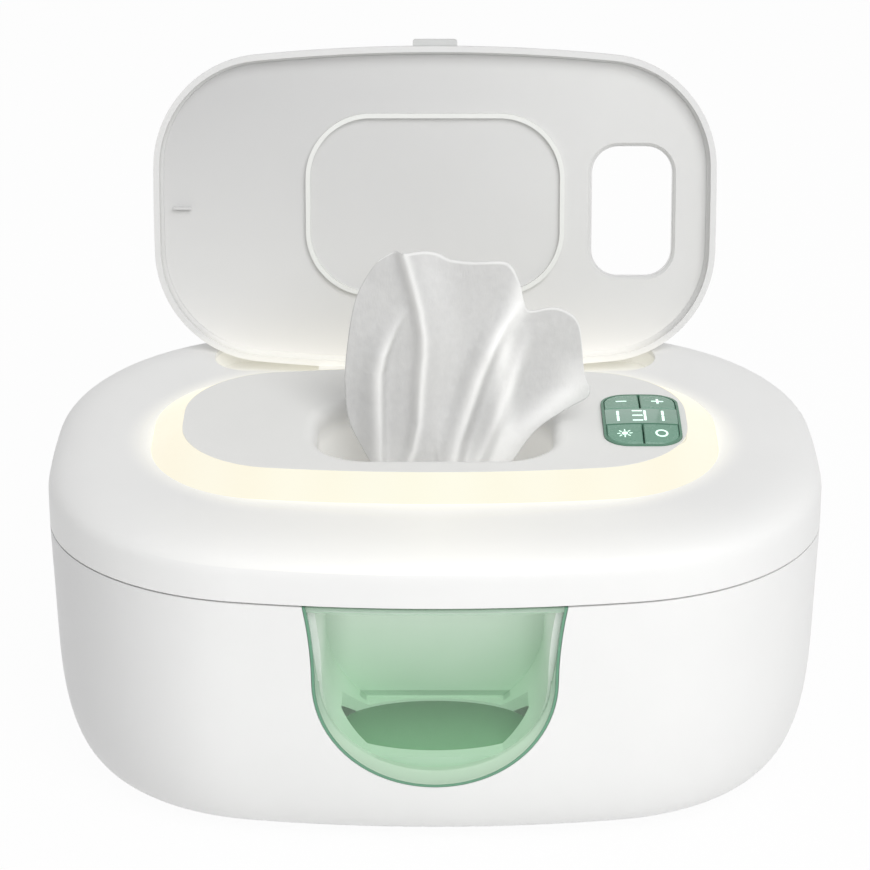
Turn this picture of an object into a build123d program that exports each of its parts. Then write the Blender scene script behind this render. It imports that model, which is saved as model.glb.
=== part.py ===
"""Baby wipe warmer: base with heated tank and front window, hinged refill cover, hinged lid.

Millimetres. Origin on the table under the middle of the body, front towards -Y, +Z up.
The cover top, the deck and the lid share one plane that slopes down towards the front.
"""

from build123d import *
import os
from math import atan2, cos, hypot, radians, sin, sqrt

# ---------------------------------------------------------------- driving dimensions
# Body outline at the seam: long front and rear arcs, side arcs, corner arcs.
BODY_WIDTH = 250.0
BODY_DEPTH = 189.0
BODY_FRONT_R = 1.44 * BODY_WIDTH
BODY_SIDE_R = 1.864 * BODY_WIDTH
BODY_CORNER_R = 0.302 * BODY_WIDTH

FEET_H = 2.5  # underside of the base above the table
SEAM_Z = 86.0  # parting line of base and cover
SEAM_GAP = 0.6
BASE_DRAFT = 2.6  # inset that the base gains from the seam to its underside
BASE_ROUND_W = 22.0  # rounding at the foot of the base
BASE_ROUND_H = 48.0
BASE_ROUND_P = 2.75
WALL = 2.5

SHELF_Z = 109.25  # cover top at the middle of the body
SLOPE = 3.8  # degrees, cover top falls towards the front
SHOULDER_W = 20.0
SHOULDER_H = 12.0
SHOULDER_P = 2.6

# Light ring and deck, in the sloping plane of the cover top.
RING_WIDTH = BODY_WIDTH - 67.0
RING_DEPTH = BODY_DEPTH - 86.5
RING_Y = -5.75
RING_FRONT_R = 444.0
RING_CORNER_R = 0.39 * RING_DEPTH
DECK_WIDTH = RING_WIDTH - 18.8
DECK_DEPTH = RING_DEPTH - 19.7
DECK_FRONT_R = 420.0
DECK_CORNER_R = 0.4 * DECK_DEPTH
FLAT_SIDE_R = 900.0  # nearly straight short sides of ring, deck and lid
DECK_RISE = 3.5
DECK_T = 2.5
DECK_LEDGE = 1.2
RING_SKIRT = 3.5

# Outlet in the deck.
OUTLET_Y = -7.5
OUTLET_WIDTH = DECK_WIDTH - 88.2
OUTLET_DEPTH = DECK_DEPTH - 37.8
OUTLET_CORNER_R = 0.378 * OUTLET_DEPTH
OUTLET_ROUND = 4.5
THROAT_WALL = 1.6
THROAT_DROP = 19.5  # throat end below the cover top

# Keypad on the right of the deck.
PANEL_X = DECK_WIDTH / 2 - 15.0
PANEL_Y = -1.7
PANEL_WIDTH = 25.2
PANEL_DEPTH = 0.483 * DECK_DEPTH
PANEL_CORNER_R = 0.2 * PANEL_DEPTH
PANEL_CROWN_R = 150.0
PANEL_TOP = 5.3  # crown above the cover top
PANEL_RIM = 0.8
KEY_GAP = 0.5
KEY_TRAVEL = 0.6
KEY_ROW = 0.325 * PANEL_DEPTH
KEY_SLIDE_GAP = 0.15

# Lid, in the same sloping plane when it is shut.
LID_WIDTH = RING_WIDTH + 8.0
LID_DEPTH = RING_DEPTH + 7.5
LID_Y = -3.95
LID_FRONT_R = 626.0
LID_CORNER_R = 0.349 * LID_DEPTH
LID_GAP = 0.4
LID_H = 8.6
LID_ROUND = 6.0
LID_WALL = 2.0
LID_LINER_T = 1.2
LID_OPEN = 103.8
LID_HINGE_BACK = 2.15  # hinge line behind the lid's rear edge
LID_HINGE_DROP = 5.7  # hinge line below the cover top
CHANNEL_WIDTH = LID_WIDTH - 40.4  # channel behind the ring that takes the rear edge of the open lid
CHANNEL_DEPTH = 24.2
CHANNEL_GAP = 1.5  # wall between ring and channel
CHANNEL_DROP = 7.0
CHANNEL_FLOOR_T = 2.6
CHANNEL_WALL = 2.0
LID_KNUCKLE_R = 1.9
LID_PIN_R = 1.0
LIP_WIDTH = OUTLET_WIDTH + 12.0
LIP_DEPTH = OUTLET_DEPTH + 17.0
LIP_CORNER_R = OUTLET_CORNER_R + 5.0
LIP_Y = -1.05
LIP_T = 1.5
WINDOW_HOLE_EDGE = 1.0  # lid hole clear of the keypad, at its sides and rear
WINDOW_HOLE_FRONT = 3.0  # and at its front
TAB_WIDTH = 15.0

# Front window.
PANE_TOP_HALF = 41.0
PANE_HALF = 38.0
PANE_TURN_Z = 60.0
PANE_BOTTOM_Z = 24.0
GASKET_W = 1.0
LENS_T = 2.2
WELL_RIM = 3.2
WELL_BACK_Y = 48.5 - BODY_DEPTH / 2
WELL_FLOOR_Z = 34.0
WELL_TOP_Z = 83.4
WELL_T = 1.5
PAD_Y = 28.5 - BODY_DEPTH / 2
PAD_HALF_X = 31.0
PAD_HALF_Y = 19.0
PAD_SINK = 1.5

# Tank for the wipes.
TANK_WIDTH = BODY_WIDTH - 50.0
TANK_FRONT_Y = 52.5 - BODY_DEPTH / 2
TANK_REAR_Y = BODY_DEPTH / 2 - 20.5
TANK_CORNER_R = 42.0
TANK_WALL = 1.6
TANK_FLOOR_Z = 16.0
TANK_RIM_Z = 84.0
FLANGE_T = 1.5
LEDGE_T = 2.5
LEDGE_IN = 7.0

# Cover hinge, sunk in the rear of the body.
COVER_HINGE_Y = BODY_DEPTH / 2 - 4.0
COVER_KNUCKLE_R = 3.3
COVER_PIN_R = 1.5
HINGE_GROOVE_R = 5.0
HINGE_GROOVE_HALF = 58.0
PIN_FIT = 0.05  # radial play of hinge pins

CLEAR = 0.15  # fitted moulded parts
FIT = 0.1

os.makedirs("parts", exist_ok=True)


# ---------------------------------------------------------------- outlines and frames
class Outline:
    """Closed plan of eight tangent arcs: front and rear, two sides, four corners."""

    def __init__(self, width, depth, front_r, side_r, corner_r, y=0.0):
        self.half_x, self.half_y = width / 2, depth / 2
        self.front_r, self.side_r, self.corner_r, self.y = front_r, side_r, corner_r, y
        fx, fy = 0.0, self.half_y - front_r  # centre of the rear arc
        sx, sy = self.half_x - side_r, 0.0  # centre of the right arc
        reach_f, reach_s = front_r - corner_r, side_r - corner_r
        span = hypot(sx - fx, sy - fy)
        along = (reach_f**2 - reach_s**2 + span**2) / (2 * span)
        off = sqrt(reach_f**2 - along**2)
        ux, uy = (sx - fx) / span, (sy - fy) / span
        self.cx = fx + ux * along - uy * off
        self.cy = fy + uy * along + ux * off
        if self.cx < 0 or self.cy < 0:
            self.cx = fx + ux * along + uy * off
            self.cy = fy + uy * along - ux * off
        self.turn_f = atan2(self.cy - fy, self.cx - fx)
        self.turn_s = atan2(self.cy - sy, self.cx - sx)
        self.front_centre, self.side_centre = fy, sx

    def face(self, inset=0.0):
        """Plan face moved inwards by inset all round, on the XY plane."""
        rf, rs, rc = self.front_r - inset, self.side_r - inset, self.corner_r - inset
        join_f = (rf * cos(self.turn_f), self.front_centre + rf * sin(self.turn_f))
        join_s = (self.side_centre + rs * cos(self.turn_s), rs * sin(self.turn_s))
        mid = (self.turn_f + self.turn_s) / 2
        bend = (self.cx + rc * cos(mid), self.cy + rc * sin(mid))
        top = (0.0, self.half_y - inset)
        side = (self.half_x - inset, 0.0)

        def at(p, kx, ky):
            return (kx * p[0], ky * p[1] + self.y)

        arcs = [
            ThreePointArc(at(join_f, -1, 1), at(top, 1, 1), at(join_f, 1, 1)),
            ThreePointArc(at(join_f, 1, 1), at(bend, 1, 1), at(join_s, 1, 1)),
            ThreePointArc(at(join_s, 1, 1), at(side, 1, 1), at(join_s, 1, -1)),
            ThreePointArc(at(join_s, 1, -1), at(bend, 1, -1), at(join_f, 1, -1)),
            ThreePointArc(at(join_f, 1, -1), at(top, 1, -1), at(join_f, -1, -1)),
            ThreePointArc(at(join_f, -1, -1), at(bend, -1, -1), at(join_s, -1, -1)),
            ThreePointArc(at(join_s, -1, -1), at(side, -1, 1), at(join_s, -1, 1)),
            ThreePointArc(at(join_s, -1, 1), at(bend, -1, 1), at(join_f, -1, 1)),
        ]
        return make_face(Wire(arcs))

    def slab(self, low, high, inset=0.0):
        return Pos(0, 0, low) * extrude(self.face(inset), high - low)

    def band(self, low, high, outer, inner):
        return self.slab(low, high, outer) - self.slab(low - 1, high + 1, inner)


BODY = Outline(BODY_WIDTH, BODY_DEPTH, BODY_FRONT_R, BODY_SIDE_R, BODY_CORNER_R)
RING = Outline(RING_WIDTH, RING_DEPTH, RING_FRONT_R, FLAT_SIDE_R, RING_CORNER_R, RING_Y)
DECK = Outline(DECK_WIDTH, DECK_DEPTH, DECK_FRONT_R, FLAT_SIDE_R, DECK_CORNER_R)
LID = Outline(LID_WIDTH, LID_DEPTH, LID_FRONT_R, FLAT_SIDE_R, LID_CORNER_R, LID_Y)


def tilted(z, angle):
    """Level plane at height z, turned so that it rises towards the rear by angle."""
    return Plane(origin=(0, 0, z), x_dir=(1, 0, 0), z_dir=(0, -sin(radians(angle)), cos(radians(angle))))


TOP = tilted(SHELF_Z, SLOPE)


def on_top(shape):
    """Places a shape drawn in the plane of the cover top."""
    return TOP.location * shape


def box(x0, x1, y0, y1, z0, z1):
    return Pos((x0 + x1) / 2, (y0 + y1) / 2, (z0 + z1) / 2) * Box(x1 - x0, y1 - y0, z1 - z0)


def rod(x, y, z, radius, length):
    """Upright cylinder standing on z."""
    return Pos(x, y, z + length / 2) * Cylinder(radius, length)


def bar(x0, x1, y, z, radius):
    """Cylinder along X."""
    return Pos((x0 + x1) / 2, y, z) * Rot(0, 90, 0) * Cylinder(radius, x1 - x0)


def pad(x, y, width, depth, corner, low, high):
    """Upright prism on a rounded rectangle."""
    return Pos(x, y, low) * extrude(RectangleRounded(width, depth, corner), high - low)


def save(shape, name):
    solids = shape.solids() if hasattr(shape, "solids") else shape
    body = solids[0] if len(solids) == 1 else Compound(children=list(solids))
    body.label = name
    export_step(body, f"parts/{name}.step")


# ---------------------------------------------------------------- body surfaces
def base_form(skin):
    """Base outside at skin 0, or the same form a wall further in."""
    low = FEET_H + skin * 1.6
    height = BASE_ROUND_H - (low - FEET_H)
    sections = []
    for turn in (0, 12, 25, 38, 51, 64, 77, 90):
        lift = 1 - cos(radians(turn)) ** (2 / BASE_ROUND_P)
        reach = 1 - sin(radians(turn)) ** (2 / BASE_ROUND_P)
        z = low + height * lift
        draft = BASE_DRAFT * (SEAM_Z - z) / (SEAM_Z - FEET_H)
        sections.append(Pos(0, 0, z) * BODY.face(skin + draft + BASE_ROUND_W * reach))
    straight = SEAM_Z + 1 - low - height
    for part in (1, 2, 3, 4):
        z = low + height + straight * part / 4
        draft = BASE_DRAFT * (SEAM_Z - z) / (SEAM_Z - FEET_H)
        sections.append(Pos(0, 0, z) * BODY.face(skin + draft))
    return loft(sections)


def cover_form(skin):
    """Cover outside at skin 0: the sections lean gradually into the slope of the top."""
    foot = SEAM_Z - 1
    turn_z = SHELF_Z - SHOULDER_H
    levels = [(foot + (turn_z - foot) * part / 4, 0.0) for part in range(4)]
    for turn in (0, 15, 30, 45, 60, 75, 90):
        rise = sin(radians(turn)) ** (2 / SHOULDER_P)
        reach = 1 - cos(radians(turn)) ** (2 / SHOULDER_P)
        levels.append((turn_z + (SHOULDER_H - skin) * rise, SHOULDER_W * reach))
    sections = []
    for z, inset in levels:
        lean = SLOPE * (z - foot) / (SHELF_Z - skin - foot)
        sections.append(tilted(z, lean).location * BODY.face(inset + skin))
    return loft(sections)


def pane_prism(inset, y0, y1):
    """Window shape along Y: flared sides above an elliptical bottom."""
    half, top_half = PANE_HALF - inset, PANE_TOP_HALF - inset
    drop = PANE_TURN_Z - PANE_BOTTOM_Z - inset
    top_z = SEAM_Z + 2
    right = TangentArc((half, PANE_TURN_Z), (top_half, top_z), tangent=(0, 1))
    left = TangentArc((-half, PANE_TURN_Z), (-top_half, top_z), tangent=(0, 1))
    bottom = EllipticalCenterArc((0, PANE_TURN_Z), half, drop, start_angle=180, arc_size=180)
    lintel = Line((-top_half, top_z), (top_half, top_z))
    face = make_face(Wire([right, lintel, left, bottom]))
    return Pos(0, y1, 0) * Rot(90, 0, 0) * extrude(face, y1 - y0)


# ---------------------------------------------------------------- base
SCREW_X, SCREW_Y = 0.29 * BODY_WIDTH, BODY_DEPTH / 2 - 44.5
SCREW_R, SCREW_HEAD_R = 1.4, 2.9
PLATE_T = 2.0
PLATE_INSET = 29.5
FOOT_X, FOOT_Y, FOOT_R = 0.296 * BODY_WIDTH, BODY_DEPTH / 2 - 58.5, 7.0
JACK_X, JACK_Z, JACK_R = 30.0, 22.0, 3.9
CORNERS = [(kx, ky) for kx in (-1, 1) for ky in (-1, 1)]
BASE_KNUCKLES = [(-38.0, -26.0), (26.0, 38.0)]
COVER_KNUCKLES = [(-52.0, -38.4), (-25.6, -12.0), (12.0, 25.6), (38.4, 52.0)]


def base_shell():
    """Outer shell with the window opening, the tank ledge, screw bosses and hinge knuckles."""
    below_seam = box(-200, 200, -200, 200, -5, SEAM_Z - SEAM_GAP / 2)
    shell = (base_form(0) - base_form(WALL)) & below_seam
    plate_z = FEET_H + PLATE_T
    ledge_z = TANK_RIM_Z - FLANGE_T - LEDGE_T
    shell += BODY.band(ledge_z, ledge_z + LEDGE_T, WALL, LEDGE_IN)
    shell -= BODY.slab(FEET_H - 1, plate_z, PLATE_INSET - FIT)
    shell -= BODY.slab(FEET_H - 1, plate_z + 4, PLATE_INSET + 3.5)
    for kx, ky in CORNERS:
        boss = rod(kx * SCREW_X, ky * SCREW_Y, plate_z, 4.5, 9)
        shell += boss
        shell -= rod(kx * SCREW_X, ky * SCREW_Y, plate_z - 1, SCREW_R + PIN_FIT, 9)
    shell -= pane_prism(0, -120, -60)
    shell -= bar(-HINGE_GROOVE_HALF, HINGE_GROOVE_HALF, COVER_HINGE_Y, SEAM_Z, HINGE_GROOVE_R)
    for x0, x1 in BASE_KNUCKLES:
        web = box(x0, x1, COVER_HINGE_Y - COVER_KNUCKLE_R, COVER_HINGE_Y + 1, SEAM_Z - 9, SEAM_Z)
        shell += bar(x0, x1, COVER_HINGE_Y, SEAM_Z, COVER_KNUCKLE_R) + web
        shell -= bar(x0 - 1, x1 + 1, COVER_HINGE_Y, SEAM_Z, COVER_PIN_R + PIN_FIT)
    shell -= Pos(JACK_X, BODY_DEPTH / 2, JACK_Z) * Rot(90, 0, 0) * Cylinder(JACK_R + FIT, 40)
    return shell


def bottom_plate():
    """Screwed plate in the floor, with seats for the feet, board posts and a warm-air grille."""
    plate_z = FEET_H + PLATE_T
    plate = BODY.slab(FEET_H, plate_z, PLATE_INSET)
    for kx, ky in CORNERS:
        plate -= rod(kx * SCREW_X, ky * SCREW_Y, FEET_H - 1, SCREW_R + FIT, 6)
        plate -= rod(kx * FOOT_X, ky * FOOT_Y, FEET_H - 1, FOOT_R + FIT, 1.5)
        plate += rod(BOARD_X + kx * BOARD_POST_X, BOARD_Y + ky * BOARD_POST_Y, plate_z, 3, BOARD_Z - plate_z)
    for step in range(-4, 5):
        plate -= pad(step * 6 - 30, 0, 2.2, 30, 1.0, FEET_H - 1, plate_z + 1)
    return plate


def bottom_screws():
    screws = []
    for kx, ky in CORNERS:
        x, y = kx * SCREW_X, ky * SCREW_Y
        screw = rod(x, y, FEET_H - 1.5, SCREW_HEAD_R, 1.5) + rod(x, y, FEET_H, SCREW_R, 7.5)
        cross = box(x - 1.6, x + 1.6, y - 0.3, y + 0.3, 0, 1.8) + box(x - 0.3, x + 0.3, y - 1.6, y + 1.6, 0, 1.8)
        screws.append((screw - cross).solid())
    return Compound(children=screws)


def foot(kx, ky):
    """Rubber foot: disc with a softened rim, seated half a millimetre deep in the plate."""
    disc = rod(kx * FOOT_X, ky * FOOT_Y, 0, FOOT_R, FEET_H + 0.5)
    return fillet(disc.edges().group_by(Axis.Z)[0], 0.8)


def tank_plan(inset, low, high):
    depth = TANK_REAR_Y - TANK_FRONT_Y
    y = (TANK_REAR_Y + TANK_FRONT_Y) / 2
    return pad(0, y, TANK_WIDTH - 2 * inset, depth - 2 * inset, TANK_CORNER_R - inset, low, high)


def inner_tank():
    """Open tub for the wipes; its flange rests on the ledge of the base."""
    tub = tank_plan(0, TANK_FLOOR_Z, TANK_RIM_Z)
    flange = BODY.slab(TANK_RIM_Z - FLANGE_T, TANK_RIM_Z, WALL + 0.9)
    flange -= box(-45, 45, -120, TANK_FRONT_Y, 0, 100)
    flange -= box(-HINGE_GROOVE_HALF - 2, HINGE_GROOVE_HALF + 2, COVER_HINGE_Y - 6.5, 120, 0, 100)
    tub += flange
    tub -= tank_plan(TANK_WALL, TANK_FLOOR_Z + TANK_WALL, TANK_RIM_Z + 1)
    rounded = tub.edges().filter_by(lambda e: abs(e.center().Z - TANK_FLOOR_Z) < 0.01)
    return fillet(rounded, 1.2)


def tank_seal():
    """Silicone ring on the rim of the tank."""
    depth = TANK_REAR_Y - TANK_FRONT_Y
    y = (TANK_REAR_Y + TANK_FRONT_Y) / 2
    outer = pad(0, y, TANK_WIDTH, depth, TANK_CORNER_R, TANK_RIM_Z, TANK_RIM_Z + 1.8)
    inner = tank_plan(TANK_WALL + 0.8, TANK_RIM_Z - 1, TANK_RIM_Z + 3)
    return outer - inner


HEATER_Y = (TANK_FRONT_Y + TANK_REAR_Y) / 2
SPREADER_W, SPREADER_D = TANK_WIDTH - 40.0, TANK_REAR_Y - TANK_FRONT_Y - 32.0
FILM_W, FILM_D = SPREADER_W - 14.0, SPREADER_D - 14.0
HEATER_T = 1.5
FILM_T = 0.4
HEATER_LOW = TANK_FLOOR_Z - HEATER_T
FILM_LOW = HEATER_LOW - FILM_T
SENSOR_X, FUSE_X = SPREADER_W / 2 - 50.0, SPREADER_W / 2 - 28.0
BOARD_X, BOARD_Y, BOARD_Z = -20.0, 20.0, 7.5
BOARD_W, BOARD_D, BOARD_T = 70.0, 40.0, 1.6
BOARD_POST_X, BOARD_POST_Y = 30.0, 15.0


def heat_spreader():
    """Aluminium plate under the tank floor."""
    plate = pad(0, HEATER_Y, SPREADER_W, SPREADER_D, 8, HEATER_LOW, TANK_FLOOR_Z)
    for kx, ky in CORNERS:
        plate -= rod(kx * (SPREADER_W / 2 - 8), HEATER_Y + ky * (SPREADER_D / 2 - 8), 0, 2.0, 40)
    return plate


def heating_film():
    """Foil heater with its lead tongue."""
    film = pad(0, HEATER_Y, FILM_W, FILM_D, 5, FILM_LOW, HEATER_LOW)
    return film + box(-8, 8, HEATER_Y - FILM_D / 2 - 5, HEATER_Y - FILM_D / 2 + 5, FILM_LOW, HEATER_LOW)


def temperature_sensor():
    bead = Pos(SENSOR_X, HEATER_Y, FILM_LOW - 1.5) * Rot(0, 90, 0) * Cylinder(1.5, 9)
    clip = box(SENSOR_X + 3, SENSOR_X + 6, HEATER_Y - 4, HEATER_Y + 4, FILM_LOW - 3.0, FILM_LOW)
    return bead + clip


def thermal_fuse():
    body = Pos(FUSE_X, HEATER_Y, FILM_LOW - 2) * Rot(0, 90, 0) * Cylinder(2.0, 11)
    nose = Pos(FUSE_X + 7, HEATER_Y, FILM_LOW - 2) * Rot(0, 90, 0) * Cylinder(1.0, 4)
    return body + nose + box(FUSE_X - 2, FUSE_X + 2, HEATER_Y - 4, HEATER_Y + 4, FILM_LOW - 4, FILM_LOW)


def main_board():
    return box(
        BOARD_X - BOARD_W / 2, BOARD_X + BOARD_W / 2, BOARD_Y - BOARD_D / 2, BOARD_Y + BOARD_D / 2,
        BOARD_Z, BOARD_Z + BOARD_T,
    )


def board_parts():
    """Coil, transistor, driver chip and the two plug housings on the board."""
    z = BOARD_Z + BOARD_T
    coil = rod(BOARD_X - 20, BOARD_Y + 6, z, 5, 3.8)
    chip = box(BOARD_X - 4, BOARD_X + 8, BOARD_Y - 5, BOARD_Y + 5, z, z + 1.6)
    switch = box(BOARD_X + 16, BOARD_X + 26, BOARD_Y - 4, BOARD_Y + 5, z, z + 2.2)
    plug_a = box(BOARD_X - 30, BOARD_X - 18, BOARD_Y - 17, BOARD_Y - 10, z, z + 4)
    plug_b = box(BOARD_X + 12, BOARD_X + 28, BOARD_Y - 17, BOARD_Y - 10, z, z + 4)
    return Compound(children=[s.solid() for s in (coil, chip, switch, plug_a, plug_b)])


JACK_FACE_Y = BODY_DEPTH / 2 - 6.6
JACK_BODY_Y = JACK_FACE_Y - 4.3
JACK_BODY_LEN = 8.1
JACK_BORE = 9.0


def dc_inlet():
    """Barrel jack: nose in the rear wall, body inside, with its centre pin."""
    nose_len = JACK_FACE_Y - JACK_BODY_Y
    nose = Pos(JACK_X, JACK_FACE_Y - nose_len / 2, JACK_Z) * Rot(90, 0, 0) * Cylinder(JACK_R, nose_len)
    body = box(JACK_X - 4.6, JACK_X + 4.6, JACK_BODY_Y - JACK_BODY_LEN, JACK_BODY_Y, JACK_Z - 5, JACK_Z + 5)
    bore = Pos(JACK_X, JACK_FACE_Y - JACK_BORE / 2, JACK_Z) * Rot(90, 0, 0) * Cylinder(2.8, JACK_BORE)
    pin = Pos(JACK_X, JACK_FACE_Y - JACK_BORE / 2 - 1, JACK_Z) * Rot(90, 0, 0) * Cylinder(1.0, JACK_BORE)
    return nose + body - bore + pin


def front_skin(inner, outer):
    """Slice of the base wall between two depths, front half only."""
    return (base_form(outer) - base_form(inner)) & box(-60, 60, -120, -50, 0, SEAM_Z - SEAM_GAP / 2)


def window_gasket():
    """Dark green frame between the shell and the lens."""
    ring = pane_prism(CLEAR, -120, -60) - pane_prism(GASKET_W, -121, -59)
    return front_skin(WALL, 0) & ring


def window_lens():
    """Clear pane that continues the curve of the body."""
    return front_skin(LENS_T, 0) & pane_prism(GASKET_W + FIT, -120, -60)


def window_well():
    """Pale green box behind the lens, with an oval seat in its floor."""
    inside = base_form(WALL + FIT) & box(-60, 60, -120, WELL_BACK_Y + WELL_T, 0, WELL_TOP_Z + WELL_T)
    well = pane_prism(CLEAR, -120, WELL_BACK_Y + WELL_T) & inside
    room = pane_prism(WELL_RIM, -121, WELL_BACK_Y) & box(-60, 60, -121, 0, WELL_FLOOR_Z, WELL_TOP_Z)
    well -= room
    seat = Pos(0, PAD_Y, WELL_FLOOR_Z - PAD_SINK) * extrude(Ellipse(PAD_HALF_X, PAD_HALF_Y), 10)
    return well - seat


def moisture_pad():
    """Dark green oval pad in the seat of the well."""
    disc = extrude(Ellipse(PAD_HALF_X - 0.3, PAD_HALF_Y - 0.3), PAD_SINK - 0.3)
    return Pos(0, PAD_Y, WELL_FLOOR_Z - PAD_SINK + 0.15) * disc


STACK_W, STACK_D, STACK_H = TANK_WIDTH - 28.0, TANK_REAR_Y - TANK_FRONT_Y - 20.0, 46.0
STACK_CORNER_R, STACK_EDGE_R = 14.0, 5.0
STACK_GAP = 0.4
STACK_TOP = TANK_FLOOR_Z + TANK_WALL + STACK_GAP + STACK_H


def wipe_stack():
    low = TANK_FLOOR_Z + TANK_WALL + STACK_GAP
    block = pad(0, HEATER_Y, STACK_W, STACK_D, STACK_CORNER_R, low, low + STACK_H)
    return fillet(block.edges().group_by(Axis.Z)[-1] + block.edges().group_by(Axis.Z)[0], STACK_EDGE_R)


def cover_hinge_pin():
    pin = bar(-52, 52, COVER_HINGE_Y, SEAM_Z, COVER_PIN_R)
    return chamfer(pin.edges().filter_by(GeomType.CIRCLE), 0.3)


# ---------------------------------------------------------------- cover
LINER_LOW = -11.5
LINER_T = 1.5
LINER_INSET = 6.0
LED_BOARD_T = 1.0
LED_H = 1.0
LED_TOP = -4.0
LED_FRONT_IN, LED_SIDE_IN = 4.704, 5.8  # behind the ring's edge at the outermost chips
LED_PITCH = (RING_WIDTH - 75.0) / 6
LED_ROW_PITCH = 0.127 * RING_DEPTH
LED_ROW_Y = -9.0
LED_BOARD_TOP = LED_TOP - LED_H
RING_SEAT_T = 1.5
BOSS_X, BOSS_Y, BOSS_FRONT_Y = BODY_WIDTH / 2 - 29.0, BODY_DEPTH / 2 - 60.5, 22.5 - BODY_DEPTH / 2
COVER_BOSSES = [(kx * BOSS_X, ky * BOSS_Y) for kx in (-1, 1) for ky in (-1, 1)]
COVER_BOSSES += [(0, BODY_DEPTH / 2 - 15.5), (-52, BOSS_FRONT_Y), (52, BOSS_FRONT_Y)]
LID_HINGE_Y = LID_Y + LID_DEPTH / 2 + LID_HINGE_BACK
LID_HINGE_Z = -LID_HINGE_DROP
LID_KNUCKLES = [(-39.7, -30.3), (30.3, 39.7)]
LID_EARS = [(-45.0, -40.0), (-30.0, -25.0), (25.0, 30.0), (40.0, 45.0)]
WELL_WALL = 1.0
KEYPAD_FLOOR = -6.0


def channel(grow, low, high):
    """Channel behind the light ring, along the lid hinge."""
    y = RING_Y + RING_DEPTH / 2 + CHANNEL_GAP + CHANNEL_DEPTH / 2
    width, depth = CHANNEL_WIDTH + 2 * grow, CHANNEL_DEPTH + 2 * grow
    return pad(0, y, width, depth, depth / 2 - 0.1, low, high)


def top_cover():
    """Cover shell with the seat of the light ring, screw bosses and both sets of hinge knuckles."""
    above_seam = box(-200, 200, -200, 200, SEAM_Z + SEAM_GAP / 2, 200)
    shell = (cover_form(0) - cover_form(WALL)) & above_seam
    seat_low = -RING_SKIRT - RING_SEAT_T
    seat = RING.band(-RING_SKIRT, -1, -3, -CLEAR) + RING.band(seat_low, -RING_SKIRT, -3, 2)
    top = seat + channel(CHANNEL_WALL, -CHANNEL_DROP - CHANNEL_FLOOR_T, -1)
    for x, y in COVER_BOSSES:
        top += rod(x, y, LINER_LOW + LINER_T, 3.6, -1 - LINER_LOW - LINER_T)
    shell = (shell + (on_top(top) & cover_form(0.5))) - on_top(RING.slab(-3.5, 20, -CLEAR))
    cuts = [channel(0, -CHANNEL_DROP, 20)]
    for x, y in COVER_BOSSES:
        cuts.append(rod(x, y, LINER_LOW - 1, SCREW_R + PIN_FIT, 8))
    for x0, x1 in LID_KNUCKLES:
        cuts.append(box(x0 - 0.3, x1 + 0.3, LID_HINGE_Y - 4.4, LID_HINGE_Y + 2.6, LID_HINGE_Z - 2.5, 3))
    for cut in cuts:
        shell -= on_top(cut)
    for x0, x1 in LID_EARS:
        ear = bar(x0, x1, LID_HINGE_Y, LID_HINGE_Z, LID_KNUCKLE_R)
        ear += box(x0, x1, LID_HINGE_Y - LID_KNUCKLE_R, LID_HINGE_Y + LID_KNUCKLE_R, -CHANNEL_DROP - 1, LID_HINGE_Z)
        shell += on_top(ear)
    shell -= on_top(bar(-47, 47, LID_HINGE_Y, LID_HINGE_Z, LID_PIN_R + PIN_FIT))
    for x0, x1 in COVER_KNUCKLES:
        web = box(x0, x1, COVER_HINGE_Y - COVER_KNUCKLE_R, COVER_HINGE_Y + 1, SEAM_Z, SEAM_Z + 7)
        shell += bar(x0, x1, COVER_HINGE_Y, SEAM_Z, COVER_KNUCKLE_R) + (web & cover_form(0.5))
    shell -= bar(-54, 54, COVER_HINGE_Y, SEAM_Z, COVER_PIN_R + PIN_FIT)
    for x0, x1 in BASE_KNUCKLES:
        shell -= bar(x0 - 0.4, x1 + 0.4, COVER_HINGE_Y, SEAM_Z, COVER_KNUCKLE_R + 0.5)
    return shell


def light_ring():
    """Milky light guide: slopes from the deck edge down to the cover top, with a skirt in the seat."""
    slope = loft([RING.face(), Pos(0, 0, DECK_RISE) * DECK.face()])
    ring = slope + RING.slab(-RING_SKIRT, 0)
    ring -= DECK.slab(DECK_RISE - DECK_T, 20)
    ring -= DECK.slab(-20, 20, DECK_LEDGE)
    ring -= pad(PANEL_X, PANEL_Y, PANEL_WIDTH + 3, PANEL_DEPTH + 3, PANEL_CORNER_R + 1.5, -20, 20)
    return on_top(ring)


def outlet_plan(grow, low, high):
    return pad(0, OUTLET_Y, OUTLET_WIDTH + 2 * grow, OUTLET_DEPTH + 2 * grow, OUTLET_CORNER_R + grow, low, high)


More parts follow.
